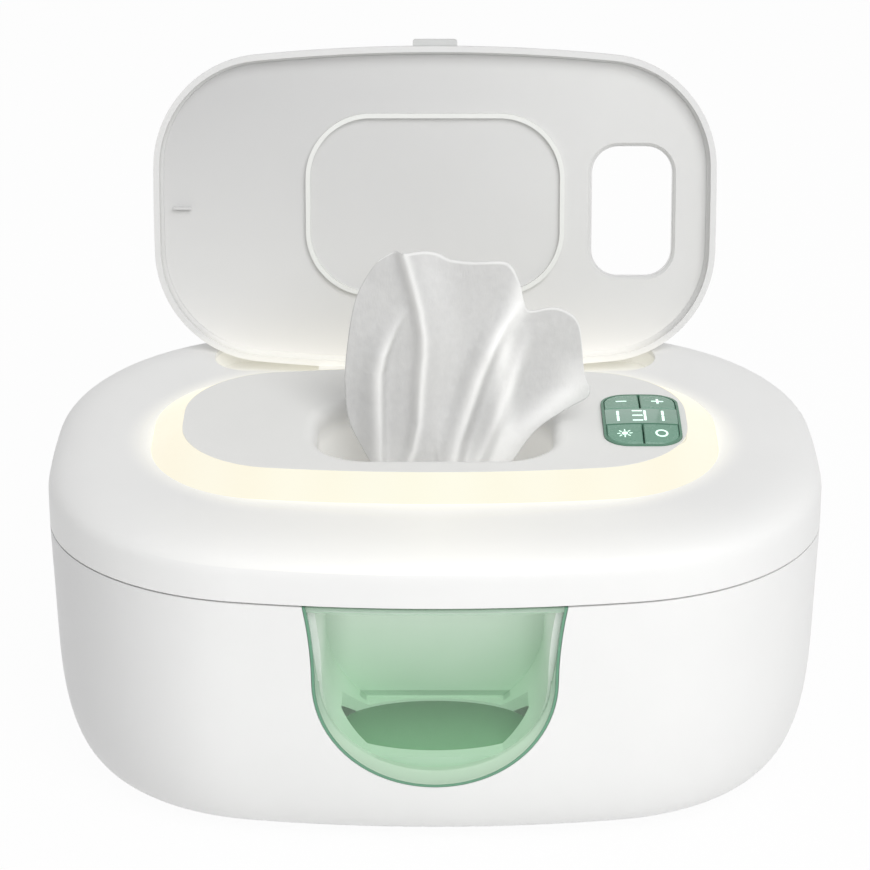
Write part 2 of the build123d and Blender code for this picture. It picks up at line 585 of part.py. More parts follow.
def deck_plate():
    """Flat deck with the soft-edged outlet and the well that holds the keypad."""
    deck = DECK.slab(DECK_RISE - DECK_T, DECK_RISE, CLEAR)
    deck += outlet_plan(OUTLET_ROUND + 1.2, DECK_RISE - OUTLET_ROUND - 1.5, DECK_RISE)
    deck += outlet_plan(THROAT_WALL, -THROAT_DROP, DECK_RISE)
    well = pad(
        PANEL_X, PANEL_Y, PANEL_WIDTH + 2 * WELL_WALL + 2 * FIT, PANEL_DEPTH + 2 * WELL_WALL + 2 * FIT,
        PANEL_CORNER_R + WELL_WALL, KEYPAD_FLOOR - 1.2, DECK_RISE,
    )
    deck += well & DECK.slab(-20, 20, CLEAR)
    deck -= outlet_plan(0, -20, 20)
    deck -= pad(
        PANEL_X, PANEL_Y, PANEL_WIDTH + 2 * FIT, PANEL_DEPTH + 2 * FIT, PANEL_CORNER_R + FIT, KEYPAD_FLOOR, 20
    )
    rim = deck.edges().filter_by(
        lambda e: abs(e.center().Z - DECK_RISE) < 0.01
        and abs(e.center().X) < OUTLET_WIDTH / 2 + 0.5
        and abs(e.center().Y - OUTLET_Y) < OUTLET_DEPTH / 2 + 0.5
    )
    return on_top(fillet(rim, OUTLET_ROUND))


def cover_liner():
    """Inner plate that closes the cover, with a rib under the light board."""
    liner = BODY.slab(LINER_LOW, LINER_LOW + LINER_T, LINER_INSET)
    rib_top = LED_BOARD_TOP - LED_BOARD_T
    liner += RING.band(LINER_LOW, rib_top, 3.5, 5.0)
    liner -= outlet_plan(THROAT_WALL + CLEAR, -20, 0)
    for x, y in COVER_BOSSES:
        liner -= rod(x, y, LINER_LOW - 1, SCREW_R + FIT, 4)
    return on_top(liner)


def cover_screws():
    screws = []
    for x, y in COVER_BOSSES:
        screw = rod(x, y, LINER_LOW - 1.4, SCREW_HEAD_R, 1.4) + rod(x, y, LINER_LOW, SCREW_R, 6.5)
        cross = box(x - 1.6, x + 1.6, y - 0.3, y + 0.3, LINER_LOW - 2, LINER_LOW - 0.8)
        screws.append(on_top((screw - cross).solid()))
    return Compound(children=screws)


def led_board():
    """U-shaped board under the light guide, open at the rear where the guide is narrow."""
    band = RING.slab(LED_BOARD_TOP - LED_BOARD_T, LED_BOARD_TOP, 2.4)
    band -= DECK.slab(-20, 20, -1.4)
    band -= box(-200, 200, 26, 200, -20, 20)
    return on_top(band)


def leds():
    """Light sources spaced along the front and both sides of the board."""
    bow = RING_FRONT_R - sqrt(RING_FRONT_R**2 - (3 * LED_PITCH) ** 2)
    front, side = RING_Y - RING_DEPTH / 2 + bow + LED_FRONT_IN, RING_WIDTH / 2 - LED_SIDE_IN
    spots = [(i * LED_PITCH, front) for i in (-3, -2, -1, 0, 1, 2, 3)]
    spots += [(kx * side, LED_ROW_Y + i * LED_ROW_PITCH) for kx in (-1, 1) for i in (-1, 0, 1)]
    chips = [on_top(box(x - 1.2, x + 1.2, y - 1.2, y + 1.2, LED_BOARD_TOP, LED_TOP)).solid() for x, y in spots]
    return Compound(children=chips)


# Keypad stack, in the plane of the cover top.
BOARD2_TOP = KEYPAD_FLOOR + 1.0
FRAME_LOW = -0.4
FRAME_FLOOR = 0.8
CAP_LOW = FRAME_FLOOR + KEY_TRAVEL + 0.1
STEM_LOW = -1.2
SWITCH_TOP = STEM_LOW - KEY_TRAVEL - 0.1
STEM_W, STEM_D = 5.0, 4.0
ROW_Y = PANEL_DEPTH / 2 - PANEL_RIM - KEY_ROW / 2
KEY_X = (PANEL_WIDTH / 2 - PANEL_RIM + KEY_GAP / 2) / 2
KEYS = {"key_minus": (-1, 1), "key_plus": (1, 1), "key_light": (-1, -1), "key_timer": (1, -1)}


def panel_core(inset, low):
    """Keypad prism under the common crown."""
    block = pad(
        PANEL_X, PANEL_Y, PANEL_WIDTH - 2 * inset, PANEL_DEPTH - 2 * inset, PANEL_CORNER_R - inset, low, PANEL_TOP
    )
    return block & (Pos(PANEL_X, PANEL_Y, PANEL_TOP - PANEL_CROWN_R) * Sphere(PANEL_CROWN_R))


def key_centre(name):
    kx, ky = KEYS[name]
    return PANEL_X + kx * KEY_X, PANEL_Y + ky * ROW_Y


def keypad_frame():
    """Green frame: thin rim round the caps, floor with a guide hole for each stem."""
    frame = panel_core(0, FRAME_LOW) - pad(
        PANEL_X, PANEL_Y, PANEL_WIDTH - 2 * PANEL_RIM, PANEL_DEPTH - 2 * PANEL_RIM,
        PANEL_CORNER_R - PANEL_RIM, FRAME_FLOOR, 20,
    )
    for name in KEYS:
        x, y = key_centre(name)
        frame -= pad(x, y, STEM_W + 2 * KEY_SLIDE_GAP, STEM_D + 2 * KEY_SLIDE_GAP, 0.7, -20, 20)
    frame -= pad(PANEL_X, PANEL_Y, 18, 8, 1, -20, 20)
    return on_top(frame)


def key(name):
    """Key cap with its guided stem."""
    kx, ky = KEYS[name]
    x, y = key_centre(name)
    cap = panel_core(PANEL_RIM + KEY_SLIDE_GAP, CAP_LOW)
    x0, x1 = sorted((PANEL_X + kx * KEY_GAP / 2, PANEL_X + kx * 20))
    y0, y1 = sorted((y - ky * KEY_ROW / 2, y + ky * 20))
    cap &= box(x0, x1, y0, y1, -20, 20)
    top = cap.faces().sort_by(Axis.Z)[-1]
    cap = chamfer(top.edges(), 0.35)
    return on_top(cap + pad(x, y, STEM_W, STEM_D, 0.6, STEM_LOW, CAP_LOW + 0.5))


def display_window():
    """Fixed glossy middle band over the digits."""
    reach = ROW_Y - KEY_ROW / 2 - KEY_GAP
    band = panel_core(PANEL_RIM + FIT, FRAME_FLOOR) & box(0, 200, PANEL_Y - reach, PANEL_Y + reach, -20, 20)
    return on_top(band)


def display_module():
    """Three-digit light module standing on the board."""
    return on_top(box(PANEL_X - 8.5, PANEL_X + 8.5, PANEL_Y - 3.6, PANEL_Y + 3.6, BOARD2_TOP, FRAME_FLOOR - 0.1))


def display_board():
    board = pad(
        PANEL_X, PANEL_Y, PANEL_WIDTH - 1, PANEL_DEPTH - 1, PANEL_CORNER_R - 0.5, KEYPAD_FLOOR, BOARD2_TOP
    )
    return on_top(board)


def key_switches():
    switches = []
    for name in KEYS:
        x, y = key_centre(name)
        body = box(x - 3, x + 3, y - 3, y + 3, BOARD2_TOP, SWITCH_TOP - 0.6) + rod(x, y, SWITCH_TOP - 0.7, 1.7, 0.7)
        switches.append(on_top(body.solid()))
    return Compound(children=switches)


def lid_hinge_pins():
    pins = []
    for kx in (-1, 1):
        x0, x1 = sorted((kx * 25.2, kx * 44.8))
        pin = bar(x0, x1, LID_HINGE_Y, LID_HINGE_Z, LID_PIN_R)
        pins.append(on_top(chamfer(pin.edges().filter_by(GeomType.CIRCLE), 0.2).solid()))
    return Compound(children=pins)


# Wipe drawn up through the outlet: height, centre x, half width, half depth of each section.
WIPE_SECTIONS = [
    (STACK_TOP + 0.4, 0, 22, 5),
    (95, -2, 25, 8),
    (113, -3, 27, 10),
    (135, 9, 39, 12),
    (158, 5, 31, 10),
    (173, -2, 18, 6),
]


def wipe():
    wide, deep = OUTLET_WIDTH / 76, OUTLET_DEPTH / 45
    sections = [Pos(x * wide, OUTLET_Y, z) * Ellipse(hx * wide, hy * deep) for z, x, hx, hy in WIPE_SECTIONS]
    return loft(sections)


# ---------------------------------------------------------------- lid
HOLE_WIDTH = PANEL_WIDTH + 2 * WINDOW_HOLE_EDGE
HOLE_DEPTH = PANEL_DEPTH + WINDOW_HOLE_EDGE + WINDOW_HOLE_FRONT
HOLE_Y = PANEL_Y + (WINDOW_HOLE_EDGE - WINDOW_HOLE_FRONT) / 2
HOLE_CORNER_R = PANEL_CORNER_R + WINDOW_HOLE_EDGE
HOLE_BEVEL = 0.9
RIB_INSET, RIB_LEN, RIB_H = 6.5, 6.0, 2.2
ROOF = LID_GAP + LID_H - LID_WALL


def lid_open(shape):
    """Turns a part drawn on the shut lid about the hinge line to the open stop."""
    return on_top(shape.rotate(Axis((0, LID_HINGE_Y, LID_HINGE_Z), (1, 0, 0)), -LID_OPEN))


def lid_form(skin):
    """Lid outside at skin 0: upright rim with a rounded top edge."""
    block = LID.slab(LID_GAP - (1 if skin else 0), LID_GAP + LID_H - skin, skin)
    return fillet(block.edges().group_by(Axis.Z)[-1], LID_ROUND - skin)


def panel_hole(grow, low, high):
    return pad(
        PANEL_X, HOLE_Y, HOLE_WIDTH + 2 * grow, HOLE_DEPTH + 2 * grow, HOLE_CORNER_R + grow, low, high
    )


def lid_shell():
    """Outer lid skin with the keypad hole and the hinge knuckles."""
    shell = lid_form(0) - lid_form(LID_WALL)
    shell -= panel_hole(0, -20, 20)
    edge = shell.edges().filter_by(
        lambda e: abs(e.center().Z - LID_GAP - LID_H) < 0.05 and abs(e.center().X - PANEL_X) < HOLE_WIDTH / 2 + 0.5
    )
    shell = fillet(edge, 1.2)
    for x0, x1 in LID_KNUCKLES:
        arm = box(x0, x1, LID_HINGE_Y - 3.6, LID_HINGE_Y - 1.2, LID_HINGE_Z - LID_KNUCKLE_R, LID_GAP + 2.0)
        shell += bar(x0, x1, LID_HINGE_Y, LID_HINGE_Z, LID_KNUCKLE_R) + arm
        shell -= bar(x0 - 1, x1 + 1, LID_HINGE_Y, LID_HINGE_Z, LID_PIN_R + PIN_FIT)
    return lid_open(shell)


def lid_liner():
    """Inner skin of the lid, with a soft bevel round the keypad hole and one small rib."""
    liner = lid_form(LID_WALL + FIT) & LID.slab(ROOF - LID_LINER_T - FIT, 20)
    liner -= panel_hole(HOLE_BEVEL / 2, -20, 20)
    edge = liner.edges().filter_by(
        lambda e: abs(e.center().Z - ROOF + LID_LINER_T + FIT) < 0.05
        and abs(e.center().X - PANEL_X) < HOLE_WIDTH / 2 + 1
        and abs(e.center().Y - HOLE_Y) < HOLE_DEPTH / 2 + 1
    )
    liner = chamfer(edge, HOLE_BEVEL)
    x = RIB_INSET - LID_WIDTH / 2
    rib = box(x, x + RIB_LEN, LID_Y - 0.4, LID_Y + 0.4, ROOF - LID_LINER_T - RIB_H, ROOF - LID_LINER_T)
    return lid_open(liner + rib)


def lid_seal():
    """Silicone lip that closes round the outlet."""
    y = LID_Y + LIP_Y
    high = ROOF - LID_LINER_T - FIT
    lip = pad(0, y, LIP_WIDTH, LIP_DEPTH, LIP_CORNER_R, DECK_RISE + 0.15, high)
    lip -= pad(0, y, LIP_WIDTH - 2 * LIP_T, LIP_DEPTH - 2 * LIP_T, LIP_CORNER_R - LIP_T, 0, 20)
    return lid_open(lip)


def lid_tab():
    """Grey finger tab on the front rim."""
    front = LID_Y - LID_DEPTH / 2
    tab = box(-TAB_WIDTH / 2, TAB_WIDTH / 2, front - 2.2, front - 0.02, LID_GAP + 0.6, LID_GAP + 3.0)
    return lid_open(fillet(tab.edges().filter_by(Axis.Z).group_by(Axis.Y)[0], 1.0))


# ---------------------------------------------------------------- all sub-parts
PARTS = {
    "base_shell": base_shell,
    "bottom_plate": bottom_plate,
    "bottom_screws": bottom_screws,
    "inner_tank": inner_tank,
    "tank_seal": tank_seal,
    "heat_spreader": heat_spreader,
    "heating_film": heating_film,
    "temperature_sensor": temperature_sensor,
    "thermal_fuse": thermal_fuse,
    "main_board": main_board,
    "board_parts": board_parts,
    "dc_inlet": dc_inlet,
    "window_gasket": window_gasket,
    "window_lens": window_lens,
    "window_well": window_well,
    "moisture_pad": moisture_pad,
    "wipe_stack": wipe_stack,
    "cover_hinge_pin": cover_hinge_pin,
    "top_cover": top_cover,
    "light_ring": light_ring,
    "deck_plate": deck_plate,
    "cover_liner": cover_liner,
    "cover_screws": cover_screws,
    "led_board": led_board,
    "leds": leds,
    "keypad_frame": keypad_frame,
    "display_window": display_window,
    "display_module": display_module,
    "display_board": display_board,
    "key_switches": key_switches,
    "lid_hinge_pins": lid_hinge_pins,
    "wipe": wipe,
    "lid_shell": lid_shell,
    "lid_liner": lid_liner,
    "lid_seal": lid_seal,
    "lid_tab": lid_tab,
}

for part_name, make in PARTS.items():
    save(make(), part_name)
for key_name in KEYS:
    save(key(key_name), key_name)
for kx, ky in CORNERS:
    side = "left" if kx < 0 else "right"
    end = "front" if ky < 0 else "rear"
    save(foot(kx, ky), f"foot_{end}_{side}")
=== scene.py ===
"""Baby wipe warmer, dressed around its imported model. Metres; lengths in the sections are millimetres.

A white moulded base holds the heated tank and the water window. The refill cover with the glowing
ring and the keypad is hinged to it, and the lid is hinged to the cover. One wipe stands in the outlet.
"""

from math import cos, exp, hypot, pi, radians, sin, tan

import bmesh
import bpy
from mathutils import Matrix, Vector, noise
from mathutils.bvhtree import BVHTree


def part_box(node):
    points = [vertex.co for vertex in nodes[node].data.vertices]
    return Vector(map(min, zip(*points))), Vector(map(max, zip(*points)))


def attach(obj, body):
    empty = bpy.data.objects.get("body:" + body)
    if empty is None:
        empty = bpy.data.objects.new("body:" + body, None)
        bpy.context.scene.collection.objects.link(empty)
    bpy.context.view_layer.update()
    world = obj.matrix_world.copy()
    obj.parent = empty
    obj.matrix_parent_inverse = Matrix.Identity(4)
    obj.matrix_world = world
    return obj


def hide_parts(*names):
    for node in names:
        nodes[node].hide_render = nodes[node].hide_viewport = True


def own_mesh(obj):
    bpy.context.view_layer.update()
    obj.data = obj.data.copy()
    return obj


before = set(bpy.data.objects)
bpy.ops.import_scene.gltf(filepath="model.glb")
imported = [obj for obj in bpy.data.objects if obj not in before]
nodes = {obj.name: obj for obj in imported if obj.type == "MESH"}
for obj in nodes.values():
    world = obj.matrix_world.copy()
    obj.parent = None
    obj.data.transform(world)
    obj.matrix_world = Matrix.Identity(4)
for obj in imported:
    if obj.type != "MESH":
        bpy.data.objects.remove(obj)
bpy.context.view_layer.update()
scene = bpy.context.scene
MM = 0.001


# ---------------------------------------------------------------- base shell
# The outer bowl, one injection moulding in white ABS. The mould is spark-eroded very finely, so the
# surface is satin, with slight differences in tone and gloss where the plastic flowed and cooled.
def shade(red, green, blue):
    """A display colour, 0 to 255, as the shader's own linear colour."""

    def linear(value):
        value /= 255
        return value / 12.92 if value <= 0.04045 else ((value + 0.055) / 1.055) ** 2.4

    return (linear(red), linear(green), linear(blue), 1.0)


BLACK = (0, 0, 0, 1)


class Link:
    """One output of a shader node. Arithmetic on it adds Math nodes."""

    def __init__(self, shading, socket):
        self.shading, self.socket = shading, socket

    def math(self, operation, first, second=0.0):
        return self.shading.node("Math", {"operation": operation}, {0: first, 1: second})

    def __add__(self, other):
        return self.math("ADD", self, other)

    def __radd__(self, other):
        return self.math("ADD", other, self)

    def __sub__(self, other):
        return self.math("SUBTRACT", self, other)

    def __rsub__(self, other):
        return self.math("SUBTRACT", other, self)

    def __mul__(self, other):
        return self.math("MULTIPLY", self, other)

    def __rmul__(self, other):
        return self.math("MULTIPLY", other, self)

    def __abs__(self):
        return self.math("ABSOLUTE", self)

    def __gt__(self, other):
        return self.math("GREATER_THAN", self, other)

    def __lt__(self, other):
        return self.math("LESS_THAN", self, other)

    def sine(self):
        return self.math("SINE", self)

    def squared(self):
        return self.math("POWER", self, 2.0)

    def root(self):
        return self.math("SQRT", self)

    def at_least(self, other):
        return self.math("MAXIMUM", self, other)

    def clamped(self):
        """The value kept between 0 and 1."""
        return self.shading.node("Clamp", {}, {0: self})

    def ramp(self, start, end):
        """0 up to start, then evenly to 1 at end and beyond. Either of them may be the higher one."""
        return ((self - start) * (1 / (end - start))).clamped()


class Shading:
    """The shader nodes of a finish or of the sky."""

    def __init__(self, tree):
        self.tree = tree

    def set(self, made, key, value):
        """Gives one socket of the node made a value or a link."""
        if isinstance(value, Link):
            self.tree.links.new(value.socket, made.inputs[key])
        else:
            made.inputs[key].default_value = value

    def node(self, kind, settings=None, sockets=None, out=0):
        made = self.tree.nodes.new("ShaderNode" + kind)
        for name, value in (settings or {}).items():
            setattr(made, name, value)
        for key, value in (sockets or {}).items():
            self.set(made, key, value)
        return Link(self, made.outputs[out])


class Finish(Shading):
    """The node material of one finish of the warmer."""

    def __init__(self, name, color, rough, **fixed):
        self.material = bpy.data.materials.new(name)
        self.material.use_nodes = True
        super().__init__(self.material.node_tree)
        self.surface = self.tree.nodes["Principled BSDF"]
        self.set(self.surface, "Base Color", color)
        self.set(self.surface, "Roughness", rough)
        for socket, value in fixed.items():
            self.set(self.surface, socket.replace("_", " "), value)

    def grain(self, size, detail=2.0, stretch=(1, 1, 1)):
        """Noise from 0 to 1 whose patches are about size millimetres wide, on Object coordinates."""
        place = self.node("TexCoord", out="Object")
        place = self.node("Mapping", {}, {"Vector": place, "Scale": stretch})
        return self.node("TexNoise", {}, {"Vector": place, "Scale": 1 / (size * MM), "Detail": detail})

    def axis(self, name):
        """An Object coordinate in millimetres."""
        parts = self.node("SeparateXYZ", {}, {0: self.node("TexCoord", out="Object")}, out="XYZ".index(name))
        return parts * 1000.0

    def blend(self, mask, low, high):
        """The colour low where mask is 0, high where it is 1."""
        return self.node("Mix", {"data_type": "RGBA"}, {0: mask, 6: low, 7: high}, out=2)

    def tone(self, mask, low, high):
        self.set(self.surface, "Base Color", self.blend(mask, low, high))

    def over(self, mask, color):
        """Lays color over the tone so far, full where mask is 1."""
        so_far = self.surface.inputs["Base Color"].links[0].from_socket
        self.tone(mask, Link(self, so_far), color)

    def glow(self, mask, color):
        """Soft light of that colour, full where mask is 1."""
        self.set(self.surface, "Emission Color", self.blend(mask, BLACK, color))
        self.set(self.surface, "Emission Strength", 1.0)

    def gloss(self, mask, low, high):
        self.set(self.surface, "Roughness", low + mask * (high - low))

    def bump(self, height, depth):
        """Relief of depth millimetres."""
        bump = self.node("Bump", {}, {"Height": height, "Distance": depth * MM, "Strength": 1.0})
        self.set(self.surface, "Normal", bump)


def dress(finish, *names):
    for name in names:
        for slot in nodes[name].material_slots:
            slot.material = finish.material


def moulded(name, dark, light, gloss=(0.34, 0.44), grain=0.35, relief=0.006, **fixed):
    """Moulded plastic: slow drift in tone, finer drift in gloss, and the mould's fine texture."""
    finish = Finish(name, light, gloss[0], **fixed)
    finish.tone(finish.grain(45, 3.0), dark, light)
    finish.gloss(finish.grain(9, 4.0), *gloss)
    finish.bump(finish.grain(grain, 1.0), relief)
    return finish


shell_plastic = moulded("shell_plastic", shade(237, 237, 236), shade(243, 243, 242))
# Painted shade: the end away from the lamp is painted greyer.
PAINTED_SHADE_FROM, PAINTED_SHADE_FULL = -70.0, -125.0
shell_plastic.over(shell_plastic.axis("X").ramp(PAINTED_SHADE_FROM, PAINTED_SHADE_FULL), shade(224, 224, 224))
dress(shell_plastic, "base_shell")


# ---------------------------------------------------------------- bottom plate and feet
# The plate is a plain natural-white moulding, screwed on from below with four self-tapping screws.
# The feet are moulded grey rubber plugs pressed into it, with a coarse non-slip skin.
inner_plastic = moulded(
    "inner_plastic", shade(222, 222, 217), shade(231, 231, 227), gloss=(0.45, 0.6), grain=0.6, relief=0.012
)
dress(inner_plastic, "bottom_plate")

foot_rubber = moulded(
    "foot_rubber", shade(148, 150, 150), shade(166, 168, 167), gloss=(0.7, 0.85), grain=0.5, relief=0.05
)
dress(foot_rubber, "foot_front_left", "foot_front_right", "foot_rear_left", "foot_rear_right")

screw_steel = Finish("screw_steel", shade(190, 190, 188), 0.3, Metallic=1.0)
screw_steel.tone(screw_steel.grain(1.5, 3.0), shade(170, 170, 170), shade(205, 205, 202))
screw_steel.gloss(screw_steel.grain(0.6, 3.0, (1, 6, 1)), 0.22, 0.45)
screw_steel.bump(screw_steel.grain(0.3, 2.0, (1, 8, 1)), 0.01)
dress(screw_steel, "bottom_screws", "cover_screws", "cover_hinge_pin", "lid_hinge_pins")


# ---------------------------------------------------------------- heated tank
# A thin polypropylene tank hangs in the base by its flange. Under its floor lie an aluminium
# spreader and a copper-coloured heating film with rows of etched tracks. A soft seal caps the rim.
tank_plastic = moulded(
    "tank_plastic", shade(224, 226, 224), shade(234, 236, 233), gloss=(0.3, 0.42), grain=1.4, relief=0.015
)
dress(tank_plastic, "inner_tank")

soft_silicone = moulded(
    "soft_silicone", shade(226, 227, 224), shade(237, 238, 235), gloss=(0.42, 0.55), grain=0.8, relief=0.01
)
dress(soft_silicone, "tank_seal")

spreader_metal = Finish("spreader_metal", shade(196, 198, 200), 0.4, Metallic=1.0)
spreader_metal.tone(spreader_metal.grain(4, 3.0, (1, 12, 1)), shade(182, 184, 187), shade(205, 207, 209))
spreader_metal.gloss(spreader_metal.grain(0.8, 2.0, (1, 20, 1)), 0.3, 0.5)
spreader_metal.bump(spreader_metal.grain(0.5, 1.0, (1, 24, 1)), 0.008)
dress(spreader_metal, "heat_spreader", "thermal_fuse")

TRACK_PITCH = 5.0
heating_film = Finish("heating_film", shade(196, 132, 60), 0.35)
row = (heating_film.axis("Y") * (2 * pi / TRACK_PITCH)).sine()
track = row > 0.1
heating_film.tone(track, shade(201, 141, 66), shade(122, 78, 38))
heating_film.gloss(heating_film.grain(3.0), 0.25, 0.42)
heating_film.bump(track, 0.03)
dress(heating_film, "heating_film")


# ---------------------------------------------------------------- boards and their parts
# Green fibreglass boards under a lacquer that shows the copper tracks as lighter lines, with black
# moulded chips and capacitors. The main board lies under the tank; one board serves the ring, one the keys.
board = Finish("board", shade(28, 92, 62), 0.4)
across = (board.axis("X") * (2 * pi / 3.1) + board.grain(14, 0.0) * 9.0).sine()
along = (board.axis("Y") * (2 * pi / 2.7) + board.grain(11, 0.0) * 7.0).sine()
copper = (across > 0.82) + (along > 0.86)
board.tone(copper, shade(24, 84, 56), shade(58, 130, 88))
board.gloss(board.grain(2.0), 0.3, 0.45)
board.bump(copper, 0.03)
dress(board, "main_board", "led_board", "display_board")

chip_black = moulded(
    "chip_black", shade(24, 24, 26), shade(38, 38, 40), gloss=(0.4, 0.6), grain=0.25, relief=0.01
)
dress(chip_black, "board_parts", "temperature_sensor", "display_module", "key_switches")


# ---------------------------------------------------------------- inlet for the supply
# A round low-voltage socket in black glass-filled nylon, moulded round its centre pin. Its nose is
# set in the rear wall of the base.
socket_black = moulded(
    "socket_black", shade(26, 26, 28), shade(36, 36, 38), gloss=(0.38, 0.52), grain=0.4, relief=0.012
)
dress(socket_black, "dc_inlet")


# ---------------------------------------------------------------- water window
# The window at the front is a tinted clear pane in a darker green moulded frame. Behind it is the
# pale green well that holds the water, and on its floor lies an oval felt pad that keeps the air moist.
frame_green = moulded(
    "frame_green", shade(98, 148, 120), shade(112, 162, 134), gloss=(0.25, 0.35), grain=0.5, relief=0.006
)
dress(frame_green, "window_gasket")

pane_green = Finish("pane_green", shade(180, 214, 188), 0.08, IOR=1.49, Specular_IOR_Level=0.25)
# The pane is thicker along its edge, where it is denser and painted paler, a painted highlight for the light
# its thick edge catches, paler towards the bottom: a half ellipse below TURN_Z, two flared sides above it,
# and a painted highlight band along the top.
TURN_Z, BOWL_X, BOWL_Z = 60.0, 35.6, 29.5
SIDE_X, SIDE_FLARE, TOP_HIGHLIGHT_BAND = 36.0, 0.13, 1.6
PALE_LOW, PALE_HIGH = 40.0, 58.0
pane_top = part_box("window_lens")[1].z / MM
across, height = abs(pane_green.axis("X")), pane_green.axis("Z")
bowl = (across * (1 / BOWL_X)).squared() + ((TURN_Z - height) * (1 / BOWL_Z)).squared()
low_edge = (bowl > 1.0) * (height < TURN_Z)
side_edge = (across - (height - TURN_Z) * SIDE_FLARE > SIDE_X) * (height > TURN_Z)
edge = low_edge.at_least(side_edge).at_least(height > pane_top - TOP_HIGHLIGHT_BAND)
sheet_tone = pane_green.blend(pane_green.grain(50), shade(176, 210, 184), shade(186, 218, 192))
edge_highlight_tone = pane_green.blend(height.ramp(PALE_LOW, PALE_HIGH), shade(210, 234, 212), shade(172, 200, 178))
pane_green.tone(edge, sheet_tone, edge_highlight_tone)
PANE_ALPHA, EDGE_ALPHA = 0.09, 0.6
pane_green.set(pane_green.surface, "Alpha", PANE_ALPHA + edge * (EDGE_ALPHA - PANE_ALPHA))
pane_green.gloss(pane_green.grain(12, 2.0), 0.05, 0.12)
dress(pane_green, "window_lens")

well_green = moulded(
    "well_green", shade(184, 206, 188), shade(196, 214, 198), gloss=(0.35, 0.5), grain=0.8, relief=0.01,
    Emission_Strength=0.65,
)
# Painted light and shade: the well is painted paler to the top, and glows as though lit inside, the painted
# glow paler to the top too. Painted shade makes the glow darker and greener at its sides and towards the
# right, with a dark line where the rear wall meets the floor. The painted glow stops under the cap over the
# pane.
GREEN_Z, PALE_SPAN, CAP = 38.0, 34.0, 2.0
FLOOR_Z, LINE_Z, REAR_Y = 34.6, 36.4, -50.0
RIGHT_FROM, RIGHT_FULL, SIDE_FROM, SIDE_FULL, SIDE_LOW, SIDE_HIGH = 20.0, 40.0, 27.0, 36.0, 40.0, 48.0
across, back, level_z = (well_green.axis(name) for name in "XYZ")
upper = ((level_z - GREEN_Z) * (1 / PALE_SPAN) + (well_green.grain(30) - 0.5) * 0.2).clamped()
well_green.tone(upper, shade(164, 196, 170), shade(234, 233, 233))
# The painted glow, which stands in for the light inside the well.
lit = well_green.blend(upper, shade(126, 146, 128), shade(160, 172, 160))
# Painted shade: the dark line at the foot of the rear wall, the right side and the side walls.
corner = (level_z > FLOOR_Z) * (level_z < LINE_Z) * (back > REAR_Y)
lit = well_green.blend(corner, lit, shade(40, 56, 42))
lit = well_green.blend(across.ramp(RIGHT_FROM, RIGHT_FULL) * 0.7, lit, shade(84, 112, 88))
side_wall_shade = abs(across).ramp(SIDE_FROM, SIDE_FULL) * level_z.ramp(SIDE_LOW, SIDE_HIGH)
lit = well_green.blend(side_wall_shade, lit, shade(56, 76, 58))
under_cap = level_z < pane_top - CAP
well_green.set(well_green.surface, "Emission Color", well_green.blend(under_cap, BLACK, lit))
dress(well_green, "window_well")

felt_green = Finish("felt_green", shade(120, 168, 138), 0.9, Sheen_Weight=0.3)
# Painted shade and light: the felt is painted darker towards the rear, where it lies in shade under the cap,
# and lighter towards the front, over its own random tone.
FELT_REAR, FELT_FRONT = -47.0, -85.0
painted_light_front = felt_green.axis("Y").ramp(FELT_REAR, FELT_FRONT)
felt_tone = painted_light_front * 0.75 + felt_green.grain(0.9, 4.0, (1, 1, 2)) * 0.4
felt_green.tone(felt_tone.clamped(), shade(14, 78, 26), shade(106, 166, 117))
felt_green.gloss(felt_green.grain(2.0), 0.8, 0.95)
felt_green.bump(felt_green.grain(0.5, 4.0), 0.15)


def mesh_object(name, verts, faces, finish, smooth=True, weld=False):
    """An object from points in millimetres, with its faces turned outwards, welded first if asked."""
    mesh = bpy.data.meshes.new(name)
    mesh.from_pydata([Vector(v) * MM for v in verts], [], faces)
    mesh.materials.append(finish.material)
    made = bpy.data.objects.new(name, mesh)
    scene.collection.objects.link(made)
    mesh.validate()
    repair = bmesh.new()
    repair.from_mesh(mesh)
    if weld:
        bmesh.ops.remove_doubles(repair, verts=repair.verts, dist=0.001 * MM)
    bmesh.ops.recalc_face_normals(repair, faces=repair.faces)
    repair.to_mesh(mesh)
    repair.free()
    for face in mesh.polygons:
        face.use_smooth = smooth
    return made


low, high = (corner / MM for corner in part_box("moisture_pad"))
middle, reach = (low + high) / 2, (high - low) / 2
RINGS, TURNS = 14, 96
FELT_IN, DIMPLE = 0.12, 0.12
verts, faces = [], []
for face_up in (1, -1):
    for ring in range(RINGS):
        share = 1 - (ring / RINGS) ** 2
        edge = (1 - share**6) ** 0.5
        for turn in range(TURNS):
            angle = 2 * pi * turn / TURNS
            x, y = middle.x + reach.x * share * cos(angle), middle.y + reach.y * share * sin(angle)
            dimple = DIMPLE * noise.noise((x * 0.16, y * 0.16, 3.0)) if face_up > 0 else 0
            verts.append((x, y, middle.z + face_up * (reach.z - FELT_IN) * edge + dimple * edge))
    verts.append((middle.x, middle.y, middle.z + face_up * (reach.z - FELT_IN)))
half = RINGS * TURNS + 1
for side in (0, half):
    for ring in range(RINGS):
        for turn in range(TURNS):
            a, b = side + ring * TURNS + turn, side + ring * TURNS + (turn + 1) % TURNS
            if ring + 1 < RINGS:
                faces.append((a, b, b + TURNS, a + TURNS))
            else:
                faces.append((a, b, side + half - 1))
for turn in range(TURNS):
    verts[half + turn] = verts[turn]
moisture_pad = mesh_object("moisture_felt", verts, faces, felt_green, weld=True)
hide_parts("moisture_pad")
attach(moisture_pad, "base")


